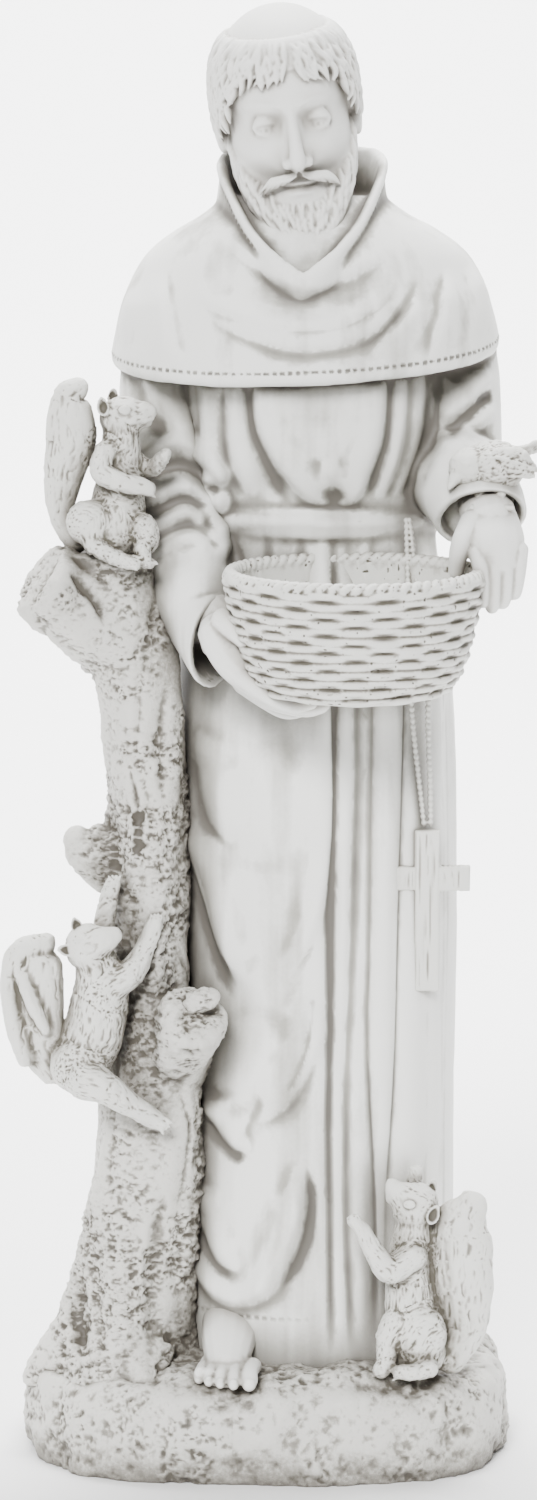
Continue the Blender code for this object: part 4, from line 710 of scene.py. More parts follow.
def sawn_end(start, end, radius_start, radius_end, broad):
    """A short branch that ends in a flat cut."""
    start, end = np.asarray(start, float), np.asarray(end, float)
    forward = unit(end - start)
    side = unit(np.asarray(broad, float) - forward * (np.asarray(broad, float) @ forward))
    up = np.cross(forward, side)
    angle = np.linspace(0, 2 * math.pi, 28, endpoint=False)
    rings = []
    for t, bulge in ((0, 1), (0.35, 0.97), (0.7, 1.02), (0.92, 1.08), (1.0, 1.0)):
        radius = (radius_start + (radius_end - radius_start) * t) * bulge
        uneven = radius * (1 + 0.06 * np.sin(3 * angle + 1) + 0.05 * np.sin(5 * angle))
        rings.append(
            start + (end - start) * t + np.cos(angle)[:, None] * side * uneven[:, None]
            + np.sin(angle)[:, None] * up * uneven[:, None]
        )
    return stack(rings)


def stump_branches():
    return [
        sawn_end((-96, -40, 545), (-146, -66, 582), 32, 24, (0, 0, 1)),
        sawn_end((-66, -36, 256), (-47, -92, 304), 26, 20, (1, 0, 0)),
        tube([(-104, -30, 396, 24), (-119, -38, 404, 15), (-124, -40, 410, 9)], sides=20),
        tube([(-96, -34, 56, 30), (-124, -42, 62, 20), (-141, -44, 56, 11)], sides=18),
        tube([(-104, 6, 60, 30), (-128, 20, 60, 18)], sides=18),
        tube([(-84, -64, 66, 26), (-80, -84, 58, 14)], sides=18),
        ball((-42, -89, 313), (13, 9, 8), (0, -20, 10)),
        ball((-60, -91, 302), (8, 8, 9), (0, 15, 0)),
        ball((-47, -94, 292), (14, 6, 6)),
    ]


def trunk_skin(voxel):
    """Stump, sawn branch, broken stub, burl and roots as one skin with its large cracks."""
    skin = Skin(scaled([trunk(), *stump_branches()], trunk_place), voxel)
    skin.soften(0.0022)
    size = TRUNK_HEIGHT / TRUNK_UNITS
    normals = skin.normals(3)
    for line, width, height, skew, taper in TRUNK_CREASES:
        placed = trunk_place([(x, 0, z) for x, z in line])[:, [0, 2]]
        crease(skin, normals, placed, width * size, height * size, skew, taper)
    return skin


# Animals, each laid out in form units about the spot it sits on.


def limb(*rows):
    return tube(rows, sides=12)


def sitting_squirrel():
    """Sits up on the stump, facing the viewer's right, its tail up behind it."""
    return [
        tube(
            [(6, 0, 6, 20), (10, 0, 26, 18), (12, 0, 46, 14.5), (12.5, -1, 64, 12.5), (12, -2, 76, 11)],
            sides=20,
        ),
        ball((14, -3, 83), (15.5, 12, 13.5), (0, -6, 0)),
        tube([(18, -3, 83, 10.5), (27, -3, 86, 8), (31, -3, 86.5, 5.5)], sides=16),
        ball((28, -3, 80), (5, 5, 4)),
        ball((-5, -11, 91), (4.6, 3, 5.4), (0, -25, -20)),
        ball((2, 8, 95), (4.4, 3, 5), (0, -20, 20)),
        ball((12, -14, 88), (3, 2, 2.6)),
        limb(
            (3, -10, 62, 7.5), (0, -16, 49, 7.5), (14, -19, 42, 6.5), (28, -17, 39, 5.6), (31, -17, 37, 4.6)
        ),
        limb((18, 4, 56, 7), (32, 0, 50, 6), (38, -6, 56, 5), (42, -8, 60, 4)),
        ball((-7, -13, 16), (16, 11, 15), (0, 20, 0)),
        ball((27, -8, 9), (10, 11, 14), (0, -15, 0)),
        limb((-6, -18, 2, 6), (6, -22, -4, 5.5), (16, -24, -8, 5), (22, -25, -10, 4)),
        limb((26, -17, 0, 6), (28, -20, -7, 5), (31, -22, -10, 4)),
        tube(
            [(-17, 3, 2, 8), (-26, 3, 19, 9), (-25, 2, 43, 13), (-20, 1, 67, 17), (-20, 0, 84, 16),
             (-20, -1, 97, 11), (-14, -2, 102, 7)],
            sides=20, broad=(1, -0.3, 0), flat=0.7,
        ),
    ]


def begging_squirrel():
    """Sits on the plinth, facing the viewer's left, muzzle and forepaws raised."""
    return [
        tube(
            [(-20, 0, 14, 19), (-24, 0, 36, 18), (-27, 0, 60, 15), (-26, -1, 82, 13.5), (-24, -1, 96, 12)],
            sides=20,
        ),
        ball((-23, -3, 111), (15, 13, 16), (0, 32, 0)),
        tube([(-28, -3, 115, 11), (-36, -3, 122, 7.5), (-38, -3, 125, 5)], sides=16),
        ball((-38, -3, 117), (4.5, 5, 4.5)),
        ball((-12, -14, 105), (6, 3.4, 6), (0, 20, 25)),
        ball((-7, 5, 120), (5, 3, 6), (0, 30, -20)),
        ball((-29, -15, 113), (3, 2, 3)),
        limb(
            (-24, -11, 80, 10), (-40, -17, 72, 9), (-49, -20, 84, 6.8),
            (-57, -20, 98, 5.4), (-63, -20, 106, 4.8),
        ),
        limb((-20, 8, 84, 8), (-24, 12, 104, 6), (-24, 9, 122, 5.4), (-22, 6, 132, 5)),
        ball((-20, -12, 29), (18, 11, 19), (0, -10, 0)),
        ball((-38, -10, 31), (9, 10, 16), (0, 14, 0)),
        limb((-41, -12, 26, 8), (-42, -16, 12, 6.5), (-46, -20, 6, 5.5)),
        limb((-14, -18, 8, 7), (-24, -22, 6, 6), (-34, -22, 6, 5)),
        tube(
            [(0, 2, 8, 11), (8, 1, 30, 16), (8, 0, 54, 20), (6, -1, 78, 22), (7, -2, 98, 20),
             (14, -2, 111, 11)],
            sides=22, broad=(1, -0.2, 0), flat=0.62,
        ),
    ]


def climbing_squirrel():
    """Clings to the front of the stump, looking up and to the viewer's right. Laid out about its belly."""
    return [
        tube(
            [(-8, 4, -32, 19), (2, 0, -14, 20), (7, -2, 6, 19), (9, -4, 24, 17.5), (6, -5, 38, 14)],
            sides=22, broad=(1, 0, 0), flat=0.95,
        ),
        ball((1, -9, 48), (15, 14, 16), (0, -16, 0)),
        tube([(4, -12, 50, 11.5), (14, -14, 55, 8.5), (18, -14, 57, 6)], sides=16),
        ball((-12, -6, 66), (4, 3, 8.5), (0, -18, 0)),
        ball((-16, -12, 42), (7.5, 3.5, 5.5), (0, -8, 0)),
        ball((1, -22.5, 49), (3.6, 2, 2.8)),
        limb((12, -8, 22, 11), (28, -8, 31, 9.5), (36, -2, 44, 7), (42, 0, 58, 6), (44, 2, 64, 4.6)),
        limb((8, 4, 44, 8), (11, 6, 62, 7), (14, 8, 78, 6.2), (17, 8, 88, 5)),
        ball((-5, -9, -29), (19, 14, 19), (0, 25, 0)),
        limb(
            (-2, -16, -36, 14), (14, -20, -43, 10.5), (28, -14, -54, 8), (42, -8, -64, 6.6), (49, -8, -68, 5)
        ),
        tube(
            [(-20, 4, -38, 12), (-30, 2, -18, 16), (-33, 1, 6, 18.5), (-34, 0, 28, 20), (-32, -1, 40, 18)],
            sides=22, broad=(1, -0.4, 0), flat=0.6, blunt=0.4,
        ),
    ]


def bird():
    """Perched on the wrist, head low to the viewer's left, tail raised."""
    return [
        ball((-1, 0, -2), (23, 16, 18), (0, -14, 0)),
        ball((-15, -6, -1), (13, 12, 13)),
        tube([(-24, -12, -8, 4.6), (-28, -15, -14, 1.8)], sides=10),
        tube([(12, 3, 5, 10), (22, 6, 9, 7), (31, 9, 13, 6)], sides=12, broad=(0.3, -0.6, 0.7), flat=0.4),
        ball((6, -11, 2), (20, 6, 11), (0, -10, 8)),
        tube([(16, -8, 3, 8), (24, -7, 0, 4.6), (29, -6, -3, 2.4)], sides=10, flat=0.5, broad=(0, 0, 1)),
        ball((-17, -17, 1), (2.4, 1.6, 2.4)),
        limb((-8, -10, -16, 4.4), (-8, -13, -25, 3)),
        limb((5, -10, -16, 4.4), (5, -13, -25, 3)),
        limb((-14, -17, -26, 2.8), (12, -17, -26, 2.8)),
    ]


# Basket, in metres, open and empty.

BASKET_SEAT = (54.0, -94.0, 514.0)
BASKET_TILT = 5.0
WEAVE_ROWS = 12
WEAVE_STAKES = 26


def basket_place(points):
    """Sets the basket, laid out upright about the middle of its floor, between the hands."""
    tilt = Euler((math.radians(BASKET_TILT), 0, 0)).to_matrix()
    return np.asarray(points, float) @ np.array(tilt).T + figure_place(BASKET_SEAT)


def basket_reach(share):
    """Half width and half depth of the basket's outside at a share of its height."""
    wide = (BASKET_FLOOR_WIDTH + (BASKET_WIDTH - BASKET_FLOOR_WIDTH) * share**0.42) / 2
    return wide, wide * (BASKET_DEPTH / BASKET_WIDTH) * (1 + 0.06 * (1 - share))


def basket_section(angle, weave=0.0016):
    """The wall's section at one angle: up the outside, over the rim, down the inside and across the floor."""
    outward = np.array([math.sin(angle), -math.cos(angle)])
    rows = []
    inner = []
    levels = WEAVE_ROWS * 3
    for i in range(levels + 1):
        share = i / levels
        wide, deep = basket_reach(share)
        row = math.floor(share * WEAVE_ROWS - 1e-6)
        over = math.cos(WEAVE_STAKES / 2 * angle + math.pi * row)
        round_strand = math.sin(math.pi * (share * WEAVE_ROWS - row)) if share > 0 else 0.0
        puff = weave * (0.6 * over + 0.2) * round_strand
        height = share * BASKET_HEIGHT
        rows.append(((wide + puff) * outward[0], (deep + puff) * outward[1], height))
        if share * BASKET_HEIGHT > BASKET_FLOOR:
            inner.append(((wide - BASKET_WALL) * outward[0], (deep - BASKET_WALL) * outward[1], height))
    return rows, inner


def basket(weave=0.0016, steps=104):
    outer_rings, inner_rings = [], []
    for a in np.linspace(0, 2 * math.pi, steps, endpoint=False):
        outer, inner = basket_section(a, weave)
        outer_rings.append(outer)
        inner_rings.append(inner)
    outer = np.swapaxes(np.array(outer_rings), 0, 1)
    inner = np.swapaxes(np.array(inner_rings), 0, 1)[::-1]
    floor = inner[-1] * (1, 1, 0) + (0, 0, BASKET_FLOOR)
    return stack([*outer, *inner, floor])


def rim(turns=34):
    """The rope-like border: two canes twisted round each other."""
    pieces = []
    wide = BASKET_WIDTH / 2 - 0.4 * BASKET_WALL
    deep = BASKET_DEPTH / 2 - 0.4 * BASKET_WALL
    for phase in (0, math.pi):
        rows = []
        for a in np.linspace(0, 2 * math.pi, turns * 6 + 1):
            twist = turns * a + phase
            out = 0.32 * BASKET_WALL * math.cos(twist)
            height = BASKET_HEIGHT + 0.32 * BASKET_WALL * math.sin(twist)
            rows.append(((wide + out) * math.sin(a), -(deep + out) * math.cos(a), height, 0.45 * BASKET_WALL))
        pieces.append(tube_in_metres(rows))
    return pieces


def tube_in_metres(rows):
    points, faces = tube([[1000 * v for v in row] for row in rows], sides=8, steps=1)
    return points / 1000, faces


# Plinth: a low rough boulder, in metres.


def plinth():
    """A low boulder whose crown rises a little toward the figure."""
    angle = np.linspace(0, 2 * math.pi, 96, endpoint=False)
    cosine, sine = np.cos(angle), np.sin(angle)
    power = 2 / 2.7
    uneven = 1 - 0.011 * (1 + np.sin(3 * angle + 0.6)) - 0.009 * (1 + np.sin(5 * angle + 2.0))
    outline_x = np.sign(cosine) * np.abs(cosine) ** power * uneven
    outline_y = np.sign(sine) * np.abs(sine) ** power * uneven
    levels = (
        (-0.06, 0.965), (0.06, 0.985), (0.3, 1.0), (0.54, 0.992), (0.72, 0.965), (0.83, 0.925), (0.9, 0.84),
        (0.95, 0.7), (0.985, 0.5), (1.0, 0.25),
    )
    rings = []
    for level, share in levels:
        across, deep = outline_x * share * PLINTH_WIDTH / 2, outline_y * share * PLINTH_DEPTH / 2
        rings.append(level_ring(across, deep, level * PLINTH_HEIGHT))
    return stack(rings)


# Drapery: lines of x and height in form units, each with its width and height.

ROBE_FOLDS = (
    # line, width, height, skew, share tapered at its ends
    (((41, 618), (41, 501), (41, 437), (40, 384),
      (41, 305), (40, 226), (41, 147), (41, 67)), 6.5, -4.7, 0.3, 0.3),
    (((58, 618), (57, 490), (56, 411), (54, 332), (51, 252), (51, 173), (53, 67)), 6.5, -4.3, 0.2, 0.3),
    (((67, 618), (67, 501), (66, 411), (65, 332), (64, 279), (69, 173), (71, 67)), 7.2, -5.1, -0.3, 0.3),
    (((88, 618), (88, 501), (86, 411), (84, 332), (82, 252), (78, 173), (78, 67)), 7.2, -4.7, -0.3, 0.3),
    (((104, 618), (104, 464), (103, 358), (102, 252), (103, 120)), 7.8, -2.7, 0, 0.3),
    (((116, 618), (116, 437), (115, 332), (114, 200), (115, 67)), 7.8, -3.5, 0.2, 0.3),
    (((49, 618), (49, 490), (49, 411), (47, 305), (45, 226), (46, 120), (47, 67)), 8.1, 3.2, 0, 0.3),
    (((62, 618), (62, 490), (61, 384), (59, 279), (59, 173), (62, 67)), 6.5, 2.8, 0, 0.3),
    (((77, 618), (77, 490), (76, 384), (74, 279), (73, 173), (74, 67)), 11.4, 3.7, 0, 0.3),
    (((96, 618), (96, 490), (95, 384), (94, 279), (92, 147)), 9.8, 3.2, 0, 0.3),
    (((110, 618), (110, 464), (109, 332), (108, 173), (109, 67)), 7.3, 2.8, 0, 0.3),
    (((36, 618), (36, 464), (36, 411), (32, 379), (23, 347), (9, 318)), 8.1, 3.9, -0.45, 0.3),
    (((31, 448), (30, 406), (24, 374), (15, 347), (5, 332)), 8.6, -2.0, -0.2, 0.6),
    (((-45, 485), (-42, 456), (-34, 429), (-21, 408)), 9.8, 3.5, 0.4, 0.5),
    (((-49, 474), (-47, 451), (-39, 424), (-27, 406)), 7.8, -2.2, 0.2, 0.5),
    (((-50, 427), (-45, 398), (-38, 369), (-29, 337), (-15, 315)), 7.5, 5.2, 0.45, 0.4),
    (((-53, 406), (-48, 374), (-40, 345), (-28, 316), (-18, 305)), 7.2, -3.3, 0.2, 0.5),
    (((34, 308), (30, 284), (21, 260), (7, 239), (-9, 226)), 7.2, 3.9, -0.45, 0.5),
    (((24, 321), (22, 292), (14, 266), (-3, 235)), 6.8, 3.1, -0.4, 0.5),
    (((29, 305), (25, 279), (15, 255), (2, 239)), 5.6, -2.0, 0, 0.6),
    (((-43, 242), (-34, 226), (-22, 213), (-10, 210)), 7.2, 4.8, 0.45, 0.5),
    (((-44, 231), (-36, 216), (-24, 204), (-11, 202)), 6.5, -2.6, 0.2, 0.5),
    (((-49, 189), (-44, 160), (-32, 137), (-16, 127)), 7.2, 4.0, 0.45, 0.5),
    (((-50, 176), (-45, 147), (-34, 128), (-19, 120)), 6.2, -2.4, 0.2, 0.5),
    (((-51, 149), (-43, 123), (-29, 110), (-12, 112), (3, 133), (16, 165), (20, 202)), 7.5, 4.8, 0.4, 0.4),
    (((21, 205), (23, 176), (17, 147), (1, 118), (-18, 102)), 6.8, 3.7, -0.4, 0.5),
    (((24, 200), (27, 170), (20, 141), (7, 118)), 6.2, -3.1, 0, 0.5),
    (((-6, 477), (-2, 432), (-6, 390)), 27.6, 4.1, 0, 0.8),
    (((-8, 305), (-10, 266), (-9, 231)), 21.1, 3.2, 0, 0.8),
)

CHEST_FOLDS = (
    (((-7, 742), (-5, 691), (2, 668), (15, 649), (31, 632), (47, 629)), 7.2, 5.1, 0.4, 0.35),
    (((-12, 742), (-11, 683), (-4, 660), (7, 638), (17, 629)), 6.6, -3.6, 0.2, 0.35),
    (((-36, 742), (-36, 679), (-31, 653), (-19, 634)), 7.8, 4.4, 0.3, 0.35),
    (((-24, 742), (-23, 679), (-17, 651), (-6, 632)), 7.2, 2.8, 0.2, 0.35),
    (((-29, 742), (-29, 674), (-24, 649), (-15, 632)), 5.8, -2.4, 0, 0.35),
    (((71, 742), (70, 681), (64, 657), (53, 633), (38, 628)), 7.2, 4.8, -0.4, 0.35),
    (((78, 742), (77, 681), (71, 653), (62, 631)), 6.4, -3.2, -0.2, 0.35),
    (((85, 742), (85, 679), (79, 651), (69, 630)), 6.6, 3.4, -0.2, 0.35),
    (((90, 742), (90, 679), (84, 651), (76, 631)), 5.5, -3.2, 0, 0.35),
    (((97, 742), (96, 679), (90, 653), (80, 632)), 7.0, 4.2, -0.3, 0.35),
    (((104, 742), (103, 679), (97, 651), (87, 631)), 5.8, -2.7, 0, 0.35),
    (((36, 662), (40, 646), (42, 630)), 8.0, 3.6, 0.0, 0.9),
    (((8, 725), (17, 683), (30, 653), (38, 636)), 17.3, 2.8, 0, 0.6),
    (((47, 725), (47, 670), (42, 636)), 14.4, 1.9, 0, 0.6),
    (((-21, 612), (-21, 590), (-20, 560)), 5.5, -2.4, 0, 0.9),
    (((0, 612), (0, 590), (1, 560)), 5.5, -2.4, 0, 0.9),
    (((21, 612), (21, 590), (22, 560)), 5.5, -2.0, 0, 0.9),
    (((51, 612), (51, 590), (52, 560)), 5.5, -2.0, 0, 0.9),
)


SLEEVE_FOLDS = (
    (((-92, 652), (-79, 660), (-58, 667), (-40, 655), (-32, 636)), 7.0, 5.5, 0.3, 0.3),
    (((-92, 622), (-74, 631), (-56, 639), (-42, 633), (-32, 618)), 6.5, 5.5, 0.3, 0.3),
    (((-90, 604), (-71, 616), (-53, 624), (-39, 617), (-28, 600)), 6.5, 5.2, 0.3, 0.3),
    (((-86, 588), (-70, 601), (-51, 608), (-36, 603), (-27, 590)), 6.0, 4.5, 0.3, 0.3),
    (((-94, 640), (-76, 648), (-57, 653), (-41, 645), (-32, 628)), 4.6, -4.0, 0.0, 0.4),
    (((-92, 614), (-73, 624), (-55, 631), (-40, 625), (-30, 609)), 4.4, -3.6, 0.0, 0.4),
    (((-88, 596), (-70, 609), (-52, 616), (-37, 610), (-27, 595)), 4.4, -3.4, 0.0, 0.4),
    (((-76, 728), (-73, 705), (-64, 688), (-50, 674), (-40, 668)), 9.0, 4.0, 0.3, 0.7),
    (((-90, 718), (-84, 694), (-72, 678), (-58, 668)), 7.5, -2.6, 0.0, 0.7),
    (((108, 676), (121, 688), (136, 702), (146, 716)), 7.5, 4.6, 0.4, 0.5),
    (((108, 661), (122, 672), (138, 683), (149, 694)), 7.0, 4.6, 0.3, 0.5),
    (((110, 668), (122, 680), (138, 692), (148, 704)), 5.0, -3.4, 0.0, 0.5),
    (((114, 704), (124, 716), (138, 724)), 8.0, -2.6, 0.0, 0.7),
)


def cape_edge(points):
    """The height, in metres, of the cape's lower edge above or below each point."""
    middle = figure_place((*CAPE_MIDDLE, CAPE_EDGE))
    size = FIGURE_HEIGHT / FIGURE_UNITS
    return middle[2] + size * cape_fall((points - middle) / size + (*CAPE_MIDDLE, 0))


def drape(skin, folds, where, strength=1.0):
    """Works a list of folds into the cloth, in order. Where holds 1 for cloth that takes them, else 0."""
    size = FIGURE_HEIGHT / FIGURE_UNITS
    untouched = skin.points.copy()
    for first in range(0, len(folds), 8):
        normals = skin.normals(3)
        for line, width, height, skew, taper in folds[first : first + 8]:
            placed = figure_place([(x, 0, z) for x, z in line])[:, [0, 2]]
            crease(skin, normals, placed, width * size, height * size * strength, skew, taper)
    skin.points = untouched + (skin.points - untouched) * where[:, None]


def back_pleats(skin):
    """Plain upright pleats round the back of the robe, which the photograph doesn't show."""
    unit_size = FIGURE_HEIGHT / FIGURE_UNITS
    normals = skin.normals(3)
    middle = figure_place((32, 8, 0))
    angle = np.arctan2(skin.points[:, 0] - middle[0], skin.points[:, 1] - middle[1])
    floor, waist = figure_place((0, 0, 66))[2], figure_place((0, 0, 600))[2]
    rise = np.clip((skin.points[:, 2] - floor) / (waist - floor), 0, 1)
    band = np.clip((0.93 - rise) * 9, 0, 1) * (skin.points[:, 2] < waist)
    back = np.clip(normals[:, 1] * 3, 0, 1)
    wave = np.sin(9 * angle + 1.2 * np.sin(3 * rise)) + 0.4 * np.sin(17 * angle)
    skin.points += normals * (3.2 * unit_size * wave * band * back)[:, None]


def cloth_skin(voxel):
    """Robe, cape, collar and sleeves as one draped cloth surface."""
    pieces = [robe(), cape(), collar(), *belt(), *right_sleeve(), right_cuff(), *left_sleeve(), left_cuff()]
    skin = Skin(scaled(pieces, figure_place), voxel)
    skin.relax(4)
    size = FIGURE_HEIGHT / FIGURE_UNITS
    below_cape = np.clip((cape_edge(skin.points) - skin.points[:, 2]) / (3 * size) - 0.5, 0, 1)
    below_belt = np.clip((figure_place((0, 0, 608))[2] - skin.points[:, 2]) / (4 * size), 0, 1)
    drape(skin, ROBE_FOLDS, below_belt)
    drape(skin, CHEST_FOLDS, below_cape)
    drape(skin, SLEEVE_FOLDS, below_cape)
    drape(skin, CAPE_FOLDS, np.clip(1 - 2 * below_cape, 0, 1))
    back_pleats(skin)
    skin.soften(0.0016 * size * 1000)
    return skin


# Fine carving, added on top of the forms that the casting shares with its solid.


def lattice_noise(where, seed=0):
    """Smooth noise from -1 to 1 at coordinates of any number of dimensions."""
    where = np.asarray(where, float)
    cell = np.floor(where).astype(np.int64)
    share = where - cell
    share = share * share * (3 - 2 * share)
    total = np.zeros(len(where))
    dimensions = where.shape[1]
    primes = (73856093, 19349663, 83492791, 49979687)
    for corner in range(2**dimensions):
        weight = np.ones(len(where))
        key = np.full(len(where), seed * 7919 + 17, np.int64)
        for axis in range(dimensions):
            up = corner >> axis & 1
            weight *= share[:, axis] if up else 1 - share[:, axis]
            key ^= (cell[:, axis] + up) * primes[axis]
        key = (key ^ (key >> 13)) * 1274126177
        key = (key ^ (key >> 16)) & 0xFFFF
        total += weight * (key / 32767.5 - 1)
    return total


def cloudy(where, octaves=4, seed=0, gain=0.5):
    total, size = np.zeros(len(where)), 1.0
    for octave in range(octaves):
        total += size * lattice_noise(where * 2**octave, seed + octave)
        size *= gain
    return total


def cracks(where, octaves=3, seed=0):
    """Sharp creases: 0 over most of the surface and up to 1 along thin wandering lines."""
    total, size = np.zeros(len(where)), 1.0
    for octave in range(octaves):
        total += size * np.clip(1 - 5 * np.abs(lattice_noise(where * 2**octave, seed + octave)), 0, 1)
        size *= 0.5
    return np.clip(total, 0, 1.4)


def nearest_spine(points, spine):
    """How far along a bent line each point's nearest place is, in metres, and its offset from that place."""
    best = np.full(len(points), 1e9)
    reach_along = np.zeros(len(points))
    offset = np.zeros_like(points)
    before = 0.0
    for start, end in zip(spine, spine[1:]):
        length = np.linalg.norm(end - start)
        step = (end - start) / max(length, 1e-9)
        away = points - start
        along = np.clip(away @ step, 0, length)
        away = away - along[:, None] * step
        distance = np.linalg.norm(away, axis=1)
        closer = distance < best
        best[closer] = distance[closer]
        reach_along[closer] = before + along[closer]
        offset[closer] = away[closer]
        before += length
    return reach_along, offset, best


def fur(skin, spines, depth, seed, mask):
    """Combs wavy tufts along the nearest of several lines. Each line has its tufts' width and length."""
    best = np.full(len(skin.points), 1e9)
    comb = np.zeros((len(skin.points), 4))
    wander = cloudy(skin.points / 0.009, 2, seed + 9)
    for number, (spine, fine, long) in enumerate(spines):
        along, offset, distance = nearest_spine(skin.points, np.asarray(spine, float))
        closer = distance < best
        best[closer] = distance[closer]
        sweep = (0.9 * np.sin(along / (1.1 * long) + number) + 1.1 * wander)[:, None]
        spots = np.hstack([offset / fine + sweep, (along / long + 7 * number)[:, None]])
        comb[closer] = spots[closer]
    strands = lattice_noise(comb, seed) + 0.4 * lattice_noise(comb * (2, 2, 2, 1.2), seed + 3)
    tufts = lattice_noise(comb * (0.4, 0.4, 0.4, 0.9), seed + 5)
    amount = depth * (strands * 0.6 + tufts * 0.7) * mask
    skin.points += skin.normals(2) * amount[:, None]


def stitches(skin, line, width, pitch, depth):
    """A sewn line along a 3-D path: a groove with a row of small raised stitches in it."""
    low, high = line.min(0) - 3 * width, line.max(0) + 3 * width
    near = np.flatnonzero(np.all((skin.points > low) & (skin.points < high), axis=1))
    if not len(near):
        return
    along, _, distance = nearest_spine(skin.points[near], line)
    groove = -np.exp(-((distance / width) ** 2))
    beat = np.clip(1.6 * np.sin(2 * math.pi * along / pitch), 0, 1)
    thread = np.exp(-((distance / (0.75 * width)) ** 2)) * beat
    skin.points[near] += skin.normals(1)[near] * (depth * (groove + 1.7 * thread))[:, None]


def hollows(skin, rounds):
    """How deep each point lies below its surroundings, in metres: above 0 in grooves, below 0 on ridges."""
    smooth = skin.points.copy()
    for _ in range(rounds):
        smooth = skin.average(smooth)
    return ((smooth - skin.points) * skin.normals(2)).sum(axis=1)


def glaze_and_shade_of(skin, fine, broad, dirt=0.0):
    """How much dark glaze and painted shade each point takes, from 0 on ridges to 1 deep in the folds."""
    near = hollows(skin, 5) / fine
    far = hollows(skin, 40) / broad
    return np.clip(0.5 * np.clip(near, -0.35, 1) + 0.6 * np.clip(far, -0.5, 1) + dirt, 0, 1)


def finished(skin, name, triangles, glaze_and_shade, material):
    """Turns a carved skin into a piece: thinned, shaded smooth, and carrying the glaze and painted shade of
    its hollows as a colour layer.
    """
    draft = bpy.data.meshes.new("draft")
    draft.from_pydata(skin.points.tolist(), [], skin.faces.tolist())
    clay = bpy.data.objects.new("draft", draft)
    bpy.context.scene.collection.objects.link(clay)
    if triangles < 2 * len(skin.faces):
        thin = clay.modifiers.new("Thin", "DECIMATE")
        thin.ratio = triangles / (2 * len(skin.faces))
    graph = bpy.context.evaluated_depsgraph_get()
    mesh = bpy.data.meshes.new_from_object(clay.evaluated_get(graph))
    mesh.name = name
    bpy.data.objects.remove(clay)
    bpy.data.meshes.remove(draft)
    tree = kdtree.KDTree(len(skin.points))
    for i, spot in enumerate(skin.points.tolist()):
        tree.insert(spot, i)
    tree.balance()
    nearest = np.array([tree.find(vert.co)[1] for vert in mesh.vertices])
    # The glaze and painted shade of the hollows, carried over to each kept point.
    level = glaze_and_shade[nearest]
    layer = mesh.attributes.new("glaze_and_shade", "FLOAT_COLOR", "POINT")
    layer.data.foreach_set("color", np.stack([level, level, level, np.ones(len(level))], axis=1).ravel())
    mesh.shade_smooth()
    mesh.materials.append(material)
    piece = bpy.data.objects.new(name, mesh)
    bpy.context.scene.collection.objects.link(piece)
    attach(piece, "root")
    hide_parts(NODE)
    return piece


# Each glaze with its painted shade: its colour where rubbed, part way down and deep in a hollow, the two
# darker ones glaze and painted shade together, then its grain, its speckle, how much glaze and painted shade
# lies in hollows, and how strongly it runs down in streaks.
CLOTH_GLAZE_AND_SHADE = (0.88, 0.88, 0.85), (0.40, 0.39, 0.35), (0.12, 0.11, 0.095), 0.10, 0.05, 1.35, 0.55
FLESH_GLAZE_AND_SHADE = (0.84, 0.84, 0.81), (0.48, 0.46, 0.42), (0.17, 0.155, 0.135), 0.08, 0.04, 0.75, 0.0
ROCK_GLAZE_AND_SHADE = (0.64, 0.63, 0.59), (0.31, 0.295, 0.26), (0.09, 0.08, 0.065), 0.60, 0.36, 1.25, 0.0
ANIMAL_GLAZE_AND_SHADE = (0.74, 0.74, 0.70), (0.36, 0.34, 0.30), (0.10, 0.09, 0.07), 0.15, 0.10, 1.35, 0.0


